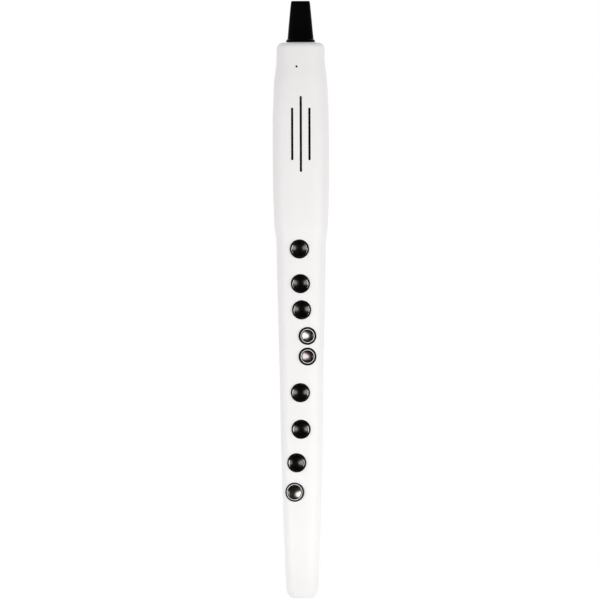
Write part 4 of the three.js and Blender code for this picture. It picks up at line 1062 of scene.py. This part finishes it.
def stage_floor():
    """A small pale floor that shows white to the camera and still takes the instrument's soft shadow."""
    place = (0, 0.2, -0.02 * mm)
    bpy.ops.mesh.primitive_circle_add(vertices=96, radius=0.35, fill_type="NGON", location=place)
    floor = bpy.context.object
    floor.name = "studio_floor"
    floor.visible_glossy = False
    paint = bpy.data.materials.new("studio_floor")
    paint.use_nodes = True
    tree = paint.node_tree
    tree.nodes.clear()
    seen = put(tree, "ShaderNodeLightPath").outputs["Is Camera Ray"]
    tone = colour_mix(tree, seen, (0.8, 0.8, 0.8, 1), (0.4, 0.4, 0.4, 1))
    matt = put(tree, "ShaderNodeBsdfDiffuse", {"Color": tone}).outputs[0]
    level = spread(tree, seen, 0.34, 0.86)
    glow = put(tree, "ShaderNodeEmission", {"Color": white, "Strength": level}).outputs[0]
    both = put(tree, "ShaderNodeAddShader", {0: matt, 1: glow}).outputs[0]
    put(tree, "ShaderNodeOutputMaterial", {"Surface": both})
    floor.data.materials.append(paint)


def studio_world():
    """White to the camera, white behind the instrument to reflections, and an even fill to the rest."""
    world = bpy.data.worlds.new("studio")
    scene.world = world
    world.use_nodes = True
    tree = world.node_tree
    tree.nodes.clear()
    rays = put(tree, "ShaderNodeLightPath").outputs
    place = put(tree, "ShaderNodeTexCoord").outputs["Generated"]
    way = put(tree, "ShaderNodeSeparateXYZ", {0: place}).outputs[1]
    behind = spread(tree, way, 0.004, 1.0, 0.0, 0.4)
    mirrored = maths(tree, "MAXIMUM", rays["Is Glossy Ray"], rays["Is Transmission Ray"])
    level = maths(tree, "MAXIMUM", rays["Is Camera Ray"], mixed(tree, mirrored, fill_level, behind))
    back = put(tree, "ShaderNodeBackground", {"Color": white, "Strength": level}).outputs[0]
    put(tree, "ShaderNodeOutputWorld", {"Surface": back})


stage_floor()
studio_world()
lamps = {  # place, aim, width, height and how bright the face looks, where 1 is white
    "left_panel": ((-0.85, -0.92, 0.06), (0, -0.92, 0.06), 1.34, 0.6, 2.3),
    "right_panel": ((0.85, -1.0, 0.05), (0, -1.0, 0.05), 1.5, 0.62, 2.42),
    "back_panel": ((0, 1.5, 0.9), (0, 0, 0.2), 1.4, 1.0, 1.6),
    "front_fill": ((0, -0.5, 0.22), (0, 0, 0.22), 0.3, 0.2, 2.15),
    "right_fill": ((1.0, -0.2, 0.16), (0, 0, 0.16), 0.8, 0.5, 1.0),
    "left_fill": ((-1.0, -0.3, 0.4), (0, 0, 0.4), 0.8, 0.6, 0.35),
    "top_fill": ((0, -0.4, 1.1), (0, 0, 0.42), 0.6, 0.5, 0.1),
}
for name, (place, aim, width, height, brightness) in lamps.items():
    lamp = bpy.data.lights.new(name, "AREA")
    lamp.shape, lamp.size, lamp.size_y = "RECTANGLE", width, height
    lamp.energy = brightness * math.pi * width * height
    box = added(name, lamp)
    box.location = place
    box.rotation_euler = (Vector(aim) - Vector(place)).to_track_quat("-Z", "Y").to_euler()
    box.visible_camera = False
    box.visible_glossy = name.endswith("panel")

camera = added("camera", bpy.data.cameras.new("camera"))
scene.camera = camera
distance, frame_width, film = 16.0, 0.4516, 36
camera.data.sensor_width = film
camera.data.lens = film * distance / frame_width
camera.data.clip_start, camera.data.clip_end = 0.1, 60
lean = 0.0031  # the instrument leans a little to the left in the photograph
aim = Vector((-1.0 * mm, 0, 224.63 * mm))
right, up = Vector((math.cos(lean), 0, -math.sin(lean))), Vector((math.sin(lean), 0, math.cos(lean)))
back = Vector((0, -1, 0))
facing = Matrix((right, up, back)).transposed().to_4x4()
camera.matrix_world = Matrix.Translation(aim + back * distance) @ facing

scene.view_settings.view_transform = "Standard"
